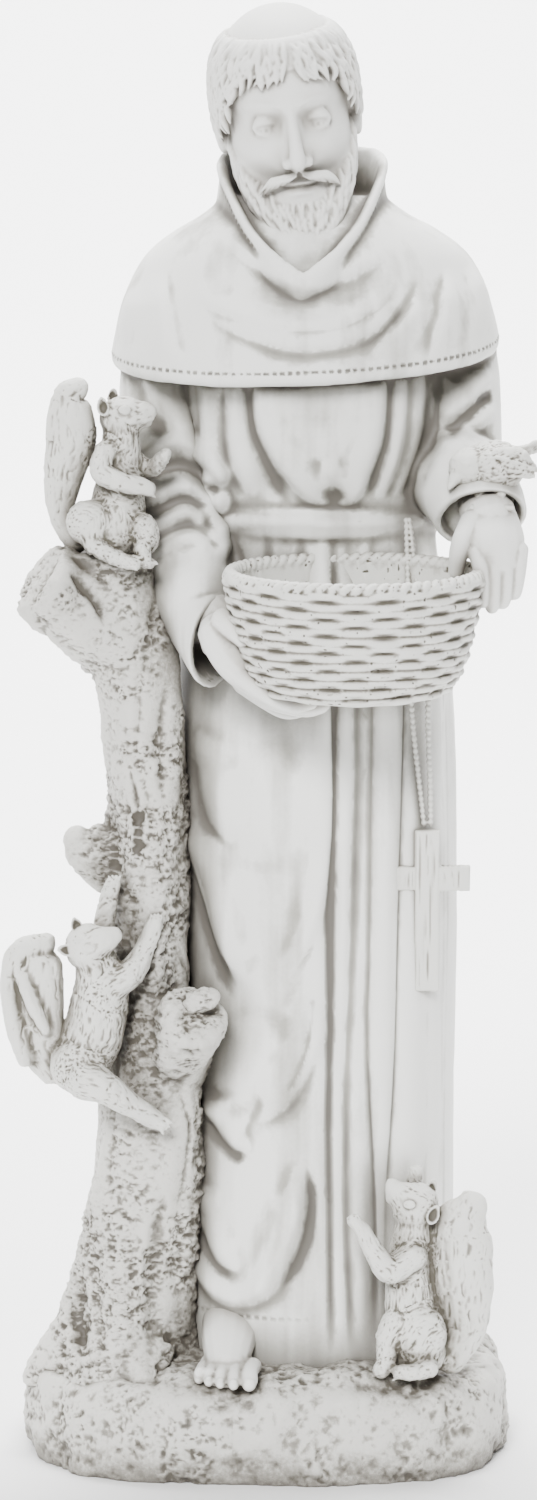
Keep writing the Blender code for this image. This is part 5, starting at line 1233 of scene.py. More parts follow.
def glaze_and_painted_shade(name, high, low, deep, grain, speckle, hollow_glaze_and_shade_strength, streaks):
    """Cast stone: pale where it is rubbed, with a thin grey-brown glaze left in its hollows and deepened
    there by painted shade, and more painted shade wherever ambient occlusion finds the surface closed in.
    """
    material = bpy.data.materials.new(name)
    material.use_nodes = True
    tree = material.node_tree
    shader = tree.nodes["Principled BSDF"]
    shader.inputs["Roughness"].default_value = 0.55
    shader.inputs["Specular IOR Level"].default_value = 0.35

    def node(kind, **inputs):
        made = tree.nodes.new(kind)
        for key, value in inputs.items():
            made.inputs[key.replace("_", " ")].default_value = value
        return made

    def sums(operation, *terms):
        """A sum or product of the terms, each a plain number or another node's output."""
        made = tree.nodes.new("ShaderNodeMath")
        made.operation = operation
        for spot, term in zip(made.inputs, terms):
            if isinstance(term, float):
                spot.default_value = term
            else:
                tree.links.new(term, spot)
        return made.outputs[0]

    place = node("ShaderNodeTexCoord").outputs["Object"]
    layer = node("ShaderNodeAttribute")
    layer.attribute_name = "glaze_and_shade"
    patches = node("ShaderNodeTexNoise", Scale=14.0, Detail=4.0, Roughness=0.6)
    specks = node("ShaderNodeTexNoise", Scale=420.0, Detail=3.0, Roughness=0.65)
    stretch = node("ShaderNodeMapping", Scale=(38.0, 38.0, 3.2))
    streak = node("ShaderNodeTexNoise", Scale=1.0, Detail=3.0, Roughness=0.55)
    for taker in (patches, specks, stretch):
        tree.links.new(place, taker.inputs["Vector"])
    tree.links.new(stretch.outputs["Vector"], streak.inputs["Vector"])
    # Ambient occlusion turned into colour: painted shade wherever the surface is closed in.
    cavity = node("ShaderNodeAmbientOcclusion", Distance=0.03)
    cavity.samples = 6

    painted_occlusion_shade = sums("SUBTRACT", 1.0, cavity.outputs["AO"])
    # The colour layer's glaze and painted shade, strongest in the hollows.
    hollow_glaze_and_shade = sums("MULTIPLY", layer.outputs["Fac"], hollow_glaze_and_shade_strength)
    shade = sums("MULTIPLY_ADD", painted_occlusion_shade, 0.62, hollow_glaze_and_shade)
    mottle = sums("MULTIPLY_ADD", patches.outputs["Fac"], 0.22, shade)
    run = sums("MULTIPLY_ADD", sums("SUBTRACT", streak.outputs["Fac"], 0.46), streaks, mottle)
    fleck = sums("MULTIPLY_ADD", specks.outputs["Fac"], speckle, run)

    # From the stone's own pale colour down to the dark of glaze and painted shade in the deepest hollows.
    ramp = node("ShaderNodeValToRGB")
    tree.links.new(fleck, ramp.inputs["Fac"])
    stops = ramp.color_ramp.elements
    stops[0].position, stops[0].color = 0.15 + speckle * 0.5, (*high, 1)
    stops[1].position, stops[1].color = 0.66 + speckle * 0.5, (*deep, 1)
    middle = stops.new(0.32 + speckle * 0.5)
    middle.color = (*low, 1)
    tree.links.new(ramp.outputs["Color"], shader.inputs["Base Color"])

    bump = node("ShaderNodeBump", Strength=grain, Distance=0.0006)
    tree.links.new(specks.outputs["Fac"], bump.inputs["Height"])
    tree.links.new(bump.outputs["Normal"], shader.inputs["Normal"])
    return material


def robe_hem():
    """The robe's sewn line, a little above its lower edge."""
    ring = oval(98, 33, 6, 93, 81, 2.3, sides=120)
    return figure_place(np.vstack([ring, ring[:1]]))


def cape_hem():
    """The cape's sewn line, a little above its lower edge."""
    ring = oval(0, *CAPE_MIDDLE, 127, 89, 2.1, sides=140)
    ring[:, 2] = CAPE_EDGE + 9 + cape_fall(ring)
    return figure_place(np.vstack([ring, ring[:1]]))


def collar_seam():
    rows = []
    for a in np.linspace(0, 2 * math.pi, 90):
        half_width, half_depth, top = collar_rim(a)
        x = COLLAR_MIDDLE[0] + (half_width + 3) * math.sin(a)
        y = COLLAR_MIDDLE[1] - (half_depth + 2) * math.cos(a)
        rows.append((x, y, top - 9))
    return figure_place(rows)


CAPE_FOLDS = (
    (((-40, 755), (-30, 746), (-4, 736), (21, 731),
      (46, 734), (66, 742), (80, 755), (91, 770)), 8.0, 4.6, 0.45, 0.8),
    (((-53, 770), (-34, 756), (0, 747), (25, 745), (51, 749), (72, 761), (81, 776)), 7.5, 3.8, 0.4, 0.8),
    (((-30, 800), (-19, 791), (0, 778), (25, 771), (51, 776), (70, 787), (80, 800)), 7.5, 3.4, 0.4, 0.8),
    (((-67, 782), (-68, 765), (-66, 746), (-62, 729), (-50, 716)), 8.0, 4.2, -0.35, 0.8),
    (((131, 785), (133, 768), (133, 750), (130, 730)), 8.0, 3.4, 0.3, 0.8),
    (((116, 782), (114, 761), (110, 742), (103, 718)), 8.0, 4.2, 0.4, 0.8),
    (((98, 775), (93, 752), (80, 737), (62, 724)), 8.0, 3.4, 0.4, 0.8),
    (((-86, 775), (-92, 750), (-92, 728)), 8.0, 2.6, 0.0, 0.9),
)


def left_hand():
    """Rests over the basket's rim: the back of the hand faces out, the fingers hang down outside it."""
    pieces = [
        tube([(130, -50, 634, 14), (136, -68, 630, 16), (140, -80, 624, 18)], broad=(1, 0, 0), flat=0.85),
        tube([(140, -80, 622, 19), (143, -92, 609, 20), (145, -96, 597, 16)], broad=(1, 0.2, 0), flat=0.66),
        tube([(130, -88, 620, 9), (123, -97, 610, 7), (120, -98, 600, 6.2), (119, -95, 589, 5)]),
    ]
    for i, (across, drop) in enumerate(((-14, 30), (-4.5, 36), (5, 32), (14, 22))):
        knuckle = (145 + across, -99 + 1.5 * i, 603)
        finger = [
            (*knuckle, 5.6),
            (146 + 0.85 * across, -105 + 2.5 * i, 590, 5.2),
            (145 + 0.75 * across, -104 + 3.5 * i, 584 - 0.4 * drop, 4.8),
            (144 + 0.65 * across, -99 + 4 * i, 602 - drop, 3.6),
        ]
        pieces += [ball(knuckle, (5.8, 5.8, 5.4)), tube(finger)]
    return pieces


def right_hand():
    """Cups the basket from below: a palm, a thumb along its side and four fingers under it."""
    wrist = [(-46, -50, 568, 14), (-34, -68, 558, 15), (-26, -82, 547, 19)]
    palm = [(-27, -84, 547, 20), (-17, -92, 533, 20), (-4, -94, 520, 16)]
    pieces = [
        tube(wrist, broad=(0.4, 0.5, 0.8), flat=0.85),
        tube(palm, broad=(0.5, 0.9, 0.3), flat=0.75),
        tube([(-28, -94, 558, 9), (-18, -108, 551, 7.2), (-8, -116, 543, 6.6), (1, -121, 535, 5)]),
    ]
    for i, (back, reach) in enumerate(((0, 27), (13, 35), (26, 34), (38, 24))):
        low = 2.8 * i
        finger = [
            (-17, -105 + back, 524 - low, 7.0),
            (0, -114 + back, 513 - low, 6.4),
            (reach - 12, -115 + back, 507 - low, 5.8),
            (reach, -113 + back, 508 - low, 4.6),
        ]
        pieces.append(tube(finger))
    return pieces


# From the great toe outward: place across, place of the tip, and radius.
TOES = ((-12, -115, 5.8), (-22, -116, 4.3), (-30.5, -113, 4.1), (-38, -109, 3.9), (-44.5, -103, 3.8))


def foot():
    pieces = [
        tube([(-24, -40, 90, 20), (-26, -66, 82, 18), (-27, -86, 73, 14)], broad=(1, 0, 0), flat=0.85),
        tube([(-27, -78, 71, 18), (-27, -94, 68.5, 19)], broad=(1, 0, 0), flat=0.42),
    ]
    for x, reach, size in TOES:
        toe = [
            (x + 2, -88, 71, size),
            (x, -104, 71.5, size * 0.9),
            (x - 0.5, reach + 4, 68, size),
            (x - 0.5, reach, 66, size * 0.8),
        ]
        pieces += [tube(toe), ball((x - 0.5, reach - 1.5, 69), (0.62 * size, 2.6, 1.7), (-30, 0, 0))]
    return pieces


def make_cloth(voxel, triangles, material):
    skin = cloth_skin(voxel)
    where = skin.points
    soft = cloudy(where / 0.035 * (1, 1, 0.6), 3, 21)
    skin.points += skin.normals(2) * (0.0005 * soft)[:, None]
    stitches(skin, cape_hem(), 0.0014, 0.0052, 0.0007)
    stitches(skin, collar_seam(), 0.0013, 0.0048, 0.0006)
    stitches(skin, robe_hem(), 0.0014, 0.0056, 0.0006)
    glaze_and_shade = glaze_and_shade_of(skin, 0.0006, 0.0030)
    return finished(skin, "friar_clothes", triangles, glaze_and_shade, material)


EYE_RADIUS = 7.6
LID_REACH = 64


def eyes():
    """Two eyeballs, each between an upper and a lower lid laid as arcs over the ball."""
    pieces = []
    for side in (-1, 1):
        middle = np.array((15.6 * side, -30.6, -2.0))
        pieces.append(ball(middle, (EYE_RADIUS,) * 3, rings=18, sides=30))
        for rises, thick in (((17, 26, 35, 44, 53, 62), 1.3), ((-34, -43, -52), 1.1)):
            for rise in rises:
                arc = []
                for turn in np.linspace(-LID_REACH, LID_REACH, 11):
                    up = math.radians(-3 + (rise + 3) * (1 - (turn / LID_REACH) ** 2) ** 0.7)
                    across, out = math.sin(math.radians(turn)), -math.cos(math.radians(turn))
                    way = np.array((across * math.cos(up), out * math.cos(up), math.sin(up)))
                    arc.append((*(middle + way * (EYE_RADIUS + 0.5)), thick))
                pieces.append(tube(arc, sides=8, steps=2))
    return pieces


def carve_features(skin):
    """Irises, brows, lips and nostrils, as fine carving seen from the front."""
    x, z = skin.points[:, 0], skin.points[:, 2]
    front = skin.points[:, 1] < -22
    depth = np.zeros(len(x))
    for side in (-1, 1):
        from_pupil = np.hypot(x - 15.4 * side, z + 4.2)
        opening = np.clip((1.6 - np.abs(z + 4.2)) / 0.5, 0, 1)
        iris, pupil = np.exp(-(((from_pupil - 3.2) / 0.5) ** 2)), np.exp(-((from_pupil / 1.0) ** 2))
        depth += opening * (-0.35 * iris - 0.8 * pupil)
        for strand in range(16):
            t = strand / 15
            brow_x = (6.5 + 20 * t) * side
            brow_z = 9.4 + 3.8 * math.sin(2.3 * t) - 3.6 * t * t
            slope = (x - brow_x) * side - 0.8 * (z - brow_z)
            along = (z - brow_z) + 0.8 * (x - brow_x) * side
            depth += 0.7 * np.exp(-((slope / 0.75) ** 2) - (along / 2.3) ** 2)
        depth -= 2.2 * np.exp(-(((x - 4.2 * side) / 2.0) ** 2) - ((z + 27.0) / 1.4) ** 2)
    middle = np.clip(1 - (x / 13.5) ** 2, 0, 1)
    line = -39.6 + 0.7 * np.exp(-((x / 3.5) ** 2)) + 0.010 * x**2
    depth += 2.2 * np.exp(-(((z - line - 2.3) / 1.9) ** 2)) * middle
    depth += 2.9 * np.exp(-(((z - line + 3.1) / 2.4) ** 2)) * np.clip(1 - (x / 11.5) ** 2, 0, 1)
    depth -= 2.0 * np.exp(-(((z - line) / 0.8) ** 2)) * np.sqrt(middle)
    depth -= 1.2 * np.exp(-((x / 2.3) ** 2) - (((z + 31.5) / 3.3) ** 2))
    skin.points[front, 1] -= depth[front]


def beard_spot(degrees, level, out=0.0):
    """A place on the beard's surface: degrees round from the front, level from cheek (0) to tip (1)."""
    a = math.radians(degrees)
    turn = min(1.0, abs(degrees) / 95) ** 1.6
    wide = max(6.0, 35.5 + 2.5 * level - 20 * level**2.6 + out)
    deep = max(6.0, 33 + 6 * level - 13 * level**3 + out)
    front, back = -46 - 33 * level, -6 - 48 * level
    middle = -5 - 5 * level - 19 * level**2
    return np.array([wide * math.sin(a), middle - deep * math.cos(a), front + (back - front) * turn])


def beard(rng, rows=8):
    """Waving tufts from ear to ear, row over row, flowing down to a rounded point, and some below the lip."""
    pieces = [
        tube([(*beard_spot(d, 0.45, -6.5), 8.6) for d in range(-90, 91, 18)], sides=14),
        tube([(*beard_spot(d, 0.8, -7), 8.6) for d in range(-75, 76, 15)], sides=14),
        ball((0, -40, -72), (15, 12, 12)),
    ]
    for row in range(rows):
        level = 0.04 + 0.90 * row / (rows - 1)
        step = 7.0 if row < rows - 2 else 9.5
        for k in range(int(-96 / step), int(96 / step) + 1):
            degrees = step * (k + 0.5 * (row % 2)) + rng.uniform(-2, 2)
            root = beard_spot(degrees, level, 0.2)
            tip = beard_spot(degrees * 0.94 + rng.uniform(-4, 4), level + rng.uniform(0.26, 0.34), 0.8)
            away = np.array([math.sin(math.radians(degrees)), -math.cos(math.radians(degrees)), 0])
            sideways = np.array([away[1], -away[0], 0]) * rng.choice((-1, 1)) * rng.uniform(0.8, 2.2)
            pieces.append(lock(root, tip, rng.uniform(2.0, 2.8), 1.5 * away + sideways, away))
    for k in range(-4, 5):
        root = (2.7 * k, -42.6 + 0.12 * k * k, -46.5 + rng.uniform(-1.0, 1.0) - 0.10 * k * k)
        tip = (3.2 * k + rng.uniform(-1.6, 1.6), -46.0 + 0.14 * k * k, -56.0 + rng.uniform(-2, 2))
        pieces.append(lock(root, tip, rng.uniform(1.3, 2.0), (rng.uniform(-1.4, 1.4), -0.8, 0), (0, -1, 0)))
    return pieces


def moustache(rng):
    """Tufts laid outward from under the nose, clear of the line of the mouth."""
    pieces = []
    for side in (-1, 1):
        for i in range(9):
            for layer in (0, 1):
                x = 1.2 + 1.9 * i + 0.8 * layer
                root = (side * x, -46.2 + 0.35 * i - 0.5 * layer, -29.6 - 0.25 * i - 2.0 * layer)
                tip = (side * (x + 5.0 + 0.3 * i), -44.2 + 0.85 * i, -34.6 - 0.85 * i - 1.5 * layer)
                bend = (side * rng.uniform(-0.3, 1.2), -1.2, rng.uniform(0.2, 1.0))
                pieces.append(lock(root, tip, rng.uniform(1.0, 1.35), bend, (0, -1, 0)))
    return pieces


def hair(rng):
    """The tonsure: a band of short curling tufts round a bare crown, longer over the ears and the nape."""
    pieces = []
    for height in range(43, -11, -1):
        start = float(np.interp(height, (-10, -4, 2, 26, 30, 31), (112, 84, 70, 48, 30, 0)))
        span = np.linspace(start, 360 - start, 30)
        pieces.append(tube([(*hair_spot(degrees, height, -2.6), 4.8) for degrees in span], sides=10))
    for k in range(90):
        degrees = 4 * k
        turn = min(degrees, 360 - degrees)
        lower = float(np.interp(turn, (0, 38, 62, 80, 100, 125, 180), (33, 29, 6, -2, 2, -16, -20)))
        rows = max(2, round((43 - lower) / 7) + 1)
        for row in range(rows):
            height = 43 + (lower - 43) * row / (rows - 1) + rng.uniform(-1.5, 1.5)
            side = degrees + rng.uniform(-2, 2) + 3 * (row % 2)
            lean = rng.uniform(-9, 9) + (6 if math.sin(math.radians(degrees)) > 0 else -6) * (turn < 60)
            root = hair_spot(side, height + 3, 0.8)
            tip = hair_spot(side + lean, height - 9 - 2 * (turn > 60), 2.0)
            away = hair_spot(side, 0, 1.0) - hair_spot(side, 0, 0.0)
            bend = 1.6 * away + np.array([away[1], -away[0], 0]) * rng.uniform(-3.0, 3.0)
            pieces.append(lock(root, tip, rng.uniform(2.1, 2.8), bend, away))
    return pieces


def make_head(voxel, triangles, material):
    skin = Skin(scaled([neck(), *head_in_place(head(voxel * 1000))], figure_place), voxel)
    skin.relax(1)
    glaze_and_shade = 0.8 * glaze_and_shade_of(skin, 0.0007, 0.0032)
    return finished(skin, "friar_head", triangles, glaze_and_shade, material)


def make_limbs(voxel, triangles, material):
    skin = Skin(scaled([*right_hand(), *left_hand(), *foot()], figure_place), voxel)
    skin.soften(0.0007)
    glaze_and_shade = glaze_and_shade_of(skin, 0.0006, 0.0026)
    return finished(skin, "friar_hands_and_foot", triangles, glaze_and_shade, material)


def make_trunk(voxel, triangles, material):
    skin = trunk_skin(voxel)
    where = skin.points
    lumps = cloudy(where / 0.034 * (1, 1, 0.5), 3, 31)
    rough = np.clip(0.5 + 1.4 * cloudy(where / 0.026, 2, 33), 0, 1)
    plates = cloudy(where / 0.0075 * (1, 1, 1.7), 4, 37, 0.62)
    flakes = np.clip(0.25 - np.abs(lattice_noise(where / 0.0055 * (1, 1, 2.0), 39)), 0, 0.25) * 4
    splits = cracks(where / 0.050 * (1, 1, 0.22) + 0.30 * lumps[:, None], 1, 41)
    rise = 0.0026 * lumps + (0.0018 * plates - 0.0004 * flakes) * (0.2 + 0.8 * rough) - 0.0016 * splits
    skin.points += skin.normals(2) * rise[:, None]
    glaze_and_shade = glaze_and_shade_of(skin, 0.0009, 0.0040, 0.02)
    return finished(skin, "tree_stump", triangles, glaze_and_shade, material)


def make_plinth(voxel, triangles, material):
    skin = Skin([plinth()], voxel)
    skin.soften(0.0050)
    where = skin.points
    lumps = cloudy(where / 0.030, 3, 51)
    rough = np.clip(0.55 + 1.3 * cloudy(where / 0.030, 2, 53), 0, 1)
    chisel = cloudy(where / 0.0105, 4, 57, 0.6)
    flakes = np.clip(0.25 - np.abs(lattice_noise(where / 0.0070, 59)), 0, 0.25) * 4
    rise = 0.0032 * lumps + (0.0024 * chisel - 0.0005 * flakes) * (0.3 + 0.7 * rough)
    skin.points += skin.normals(2) * rise[:, None]
    skin.points[:, 2] = np.maximum(skin.points[:, 2], 0.0)
    glaze_and_shade = glaze_and_shade_of(skin, 0.0011, 0.0045, 0.02)
    return finished(skin, "rock_plinth", triangles, glaze_and_shade, material)


def woven_strands():
    """Upright stakes, and weavers that pass before and behind them, row over row."""
    pieces = []
    rng = random.Random(SEED + 2)
    rows = WEAVE_ROWS + 1
    pitch = BASKET_HEIGHT / rows
    for row in range(rows):
        share = (row + 0.5) / rows
        wide, deep = basket_reach(share)
        tilt, phase = rng.uniform(0.1, 0.5), rng.uniform(0, 6.28)
        for strand in (0, 1):
            line = []
            for a in np.linspace(0, 2 * math.pi, WEAVE_STAKES * 8 + 1):
                over = math.cos(WEAVE_STAKES / 2 * a + math.pi * (row + strand))
                out = 0.0012 * over - 0.0003
                lift = pitch * (share * rows + 0.5 * tilt * math.sin(3 * a + phase) + 0.30 * (strand - 0.5))
                line.append(((wide + out) * math.sin(a), -(deep + out) * math.cos(a), lift, 0.48 * pitch))
            pieces.append(tube_in_metres(line))
    for stake in range(WEAVE_STAKES):
        a = 2 * math.pi * (stake + 0.5) / WEAVE_STAKES
        line = []
        for share in np.linspace(0, 1, 12):
            wide, deep = basket_reach(share)
            inset = 0.0003
            x, y = (wide - inset) * math.sin(a), -(deep - inset) * math.cos(a)
            line.append((x, y, share * BASKET_HEIGHT, 0.0019))
        pieces.append(tube_in_metres(line))
    return pieces


def make_basket(voxel, triangles, material):
    pieces = [basket(weave=-0.0012), *woven_strands(), *rim()]
    skin = Skin([(basket_place(points), faces) for points, faces in pieces], voxel)
    skin.relax(1)
    pits = np.clip(lattice_noise(skin.points / 0.0022, 71) - 0.72, 0, 1)
    skin.points -= skin.normals(2) * (0.004 * pits)[:, None]
    glaze_and_shade = glaze_and_shade_of(skin, 0.0006, 0.0022)
    return finished(skin, "woven_basket", triangles, glaze_and_shade, material)


def make_rosary(voxel, triangles, material):
    bead = BEAD_DIAMETER * 1000 * FIGURE_UNITS / (FIGURE_HEIGHT * 1000)
    skin = Skin(scaled([*rosary(bead), *cross()], figure_place), voxel)
    grain = lattice_noise(skin.points / (0.0014, 0.004, 0.022), 75)
    wood = np.clip((figure_place(CROSS_TOP)[2] - skin.points[:, 2]) / 0.002, 0, 1)
    skin.points += skin.normals(1) * (0.00035 * grain * wood)[:, None]
    glaze_and_shade = glaze_and_shade_of(skin, 0.0005, 0.0020)
    return finished(skin, "rosary_and_cross", triangles, glaze_and_shade, material)


def ear(spot, facing, up, size):
    """A small cupped ear with a pointed tip."""
    facing = unit(facing)
    side = unit(np.cross(facing, up))
    top = np.cross(side, facing)
    angle = np.linspace(0, 2 * math.pi, 24, endpoint=False)
    point = 1.1 + 0.35 * np.clip(np.sin(angle), 0, 1) ** 4
    rings = []
    for radius, depth in ((0.35, -0.45), (0.85, 0.0), (1.0, 0.5), (0.76, 0.45), (0.4, -0.05)):
        ring = np.cos(angle)[:, None] * side * 0.8 + (np.sin(angle) * point)[:, None] * top
        rings.append(np.asarray(spot, float) + facing * depth * size + ring * radius * size)
    return stack(rings)


def eye(spot, facing, size):
    """An eyeball in a ring of lid."""
    facing = unit(facing)
    side = unit(np.cross(facing, (0, 0, 1)))
    top = np.cross(side, facing)
    lid = []
    for a in np.linspace(0, 2 * math.pi, 17):
        around = 1.25 * math.cos(a) * side + 0.8 * math.sin(a) * top
        place = np.asarray(spot, float) + facing * 0.55 * size + size * around
        lid.append((*place, 0.3 * size))
    return [ball(spot, (size, size, size)), tube(lid, sides=8, steps=2)]


def toes(spot, forward, across, size, count=4):
    """Short fingers or toes, fanned out."""
    forward, across = unit(forward), unit(across)
    pieces = []
    for k in range(count):
        share = k / (count - 1) - 0.5
        start = np.asarray(spot, float) + across * share * size * 2.4
        middle = start + (forward + 0.25 * share * across) * size * 1.0
        end = start + (forward + 0.5 * share * across) * size * 1.9
        pieces.append(tube([(*start, 0.62 * size), (*middle, 0.5 * size), (*end, 0.26 * size)], sides=8))
    return pieces


FUR_DEPTH = 0.0009


def make_creature(name, pieces, details, spines, place, smooth, voxel, triangles, material):
    """An animal with combed fur or feathers, left plain near each of its smooth spots."""
    body = Skin(scaled(pieces, place), voxel)
    body.soften(0.0016)
    skin = Skin([body.piece(), *scaled(details, place)], voxel)
    skin.soften(0.0004)
    mask = np.ones(len(skin.points))
    for spot, reach in smooth:
        distance = np.linalg.norm(skin.points - place(np.array(spot, float)), axis=1)
        mask *= np.clip(distance / reach - 0.45, 0.08, 1)
    combed = [(place(np.array(line, float)), fine, long) for line, fine, long in spines]
    fur(skin, combed, FUR_DEPTH, SEED + 69, mask)
    glaze_and_shade = glaze_and_shade_of(skin, 0.0005, 0.0022)
    return finished(skin, name, triangles, glaze_and_shade, material)


def make_stage():
    """A pale floor that sweeps up behind the statue."""
    rows = [(y, 0.0) for y in (-6.0, -2.0, 0.0, 2.5)]
    for degrees in range(10, 91, 10):
        a = math.radians(degrees)
        rows.append((2.5 + 1.5 * math.sin(a), 1.5 - 1.5 * math.cos(a)))
    rows.append((4.0, 7.0))
    points = [(x, y, z) for y, z in rows for x in (-8.0, 8.0)]
    faces = [(2 * i, 2 * i + 1, 2 * i + 3, 2 * i + 2) for i in range(len(rows) - 1)]
    mesh = bpy.data.meshes.new("floor")
    mesh.from_pydata(points, [], faces)
    mesh.shade_smooth()
    paint = bpy.data.materials.new("pale_floor")
    paint.use_nodes = True
    shader = paint.node_tree.nodes["Principled BSDF"]
    shader.inputs["Base Color"].default_value = (0.93, 0.93, 0.93, 1)
    shader.inputs["Roughness"].default_value = 0.9
    mesh.materials.append(paint)
    floor = bpy.data.objects.new("floor", mesh)
    bpy.context.scene.collection.objects.link(floor)


def soft_light(name, spot, aim, size, power):
    lamp = bpy.data.lights.new(name, "AREA")
    lamp.shape = "RECTANGLE"
    lamp.size, lamp.size_y = size
    lamp.energy = power
    holder = bpy.data.objects.new(name, lamp)
    holder.location = spot
    holder.rotation_euler = (Vector(aim) - Vector(spot)).to_track_quat("-Z", "Y").to_euler()
    bpy.context.scene.collection.objects.link(holder)


def make_view():
    lens = bpy.data.cameras.new("view")
    lens.sensor_fit = "VERTICAL"
    lens.sensor_height = 36.0
    lens.lens = 99.0
    camera = bpy.data.objects.new("view", lens)
    camera.location = (0.0, -2.7, 0.80)
    camera.rotation_euler = (math.radians(90 - 7.10), 0, 0)
    bpy.context.scene.collection.objects.link(camera)
    bpy.context.scene.camera = camera
    world = bpy.data.worlds.new("studio")
    world.use_nodes = True
    sky = world.node_tree.nodes["Background"]
    sky.inputs["Color"].default_value = (1.0, 1.0, 1.0, 1)
    sky.inputs["Strength"].default_value = 0.15
    bpy.context.scene.world = world
    soft_light("fill", (2.4, -1.8, 1.2), (0, 0, 0.5), (1.4, 2.0), 5)
    soft_light("backdrop_light", (0, 0.9, 3.6), (0, 3.6, 1.0), (3.0, 1.5), 640)
    lamp = bpy.data.lights.new("key", "SUN")
    lamp.energy = 5.6
    lamp.angle = math.radians(20)
    holder = bpy.data.objects.new("key", lamp)
    holder.rotation_euler = (math.radians(54), 0, math.radians(-14))
    bpy.context.scene.collection.objects.link(holder)


def without(pieces, *numbers):
    """The pieces but for those that a finer form takes the place of."""
    return [piece for number, piece in enumerate(pieces) if number not in numbers]


def quill(k):
    """One long feather of the bird's wing, counted from the top."""
    rows = [(2 + 3 * k, -17 + k, 6 - 4 * k, 1.3), (14 + 2 * k, -16 + k, 3 - 3 * k, 1.2)]
    return tube([*rows, (27, -11, -1 - 2 * k, 0.7)], sides=8)


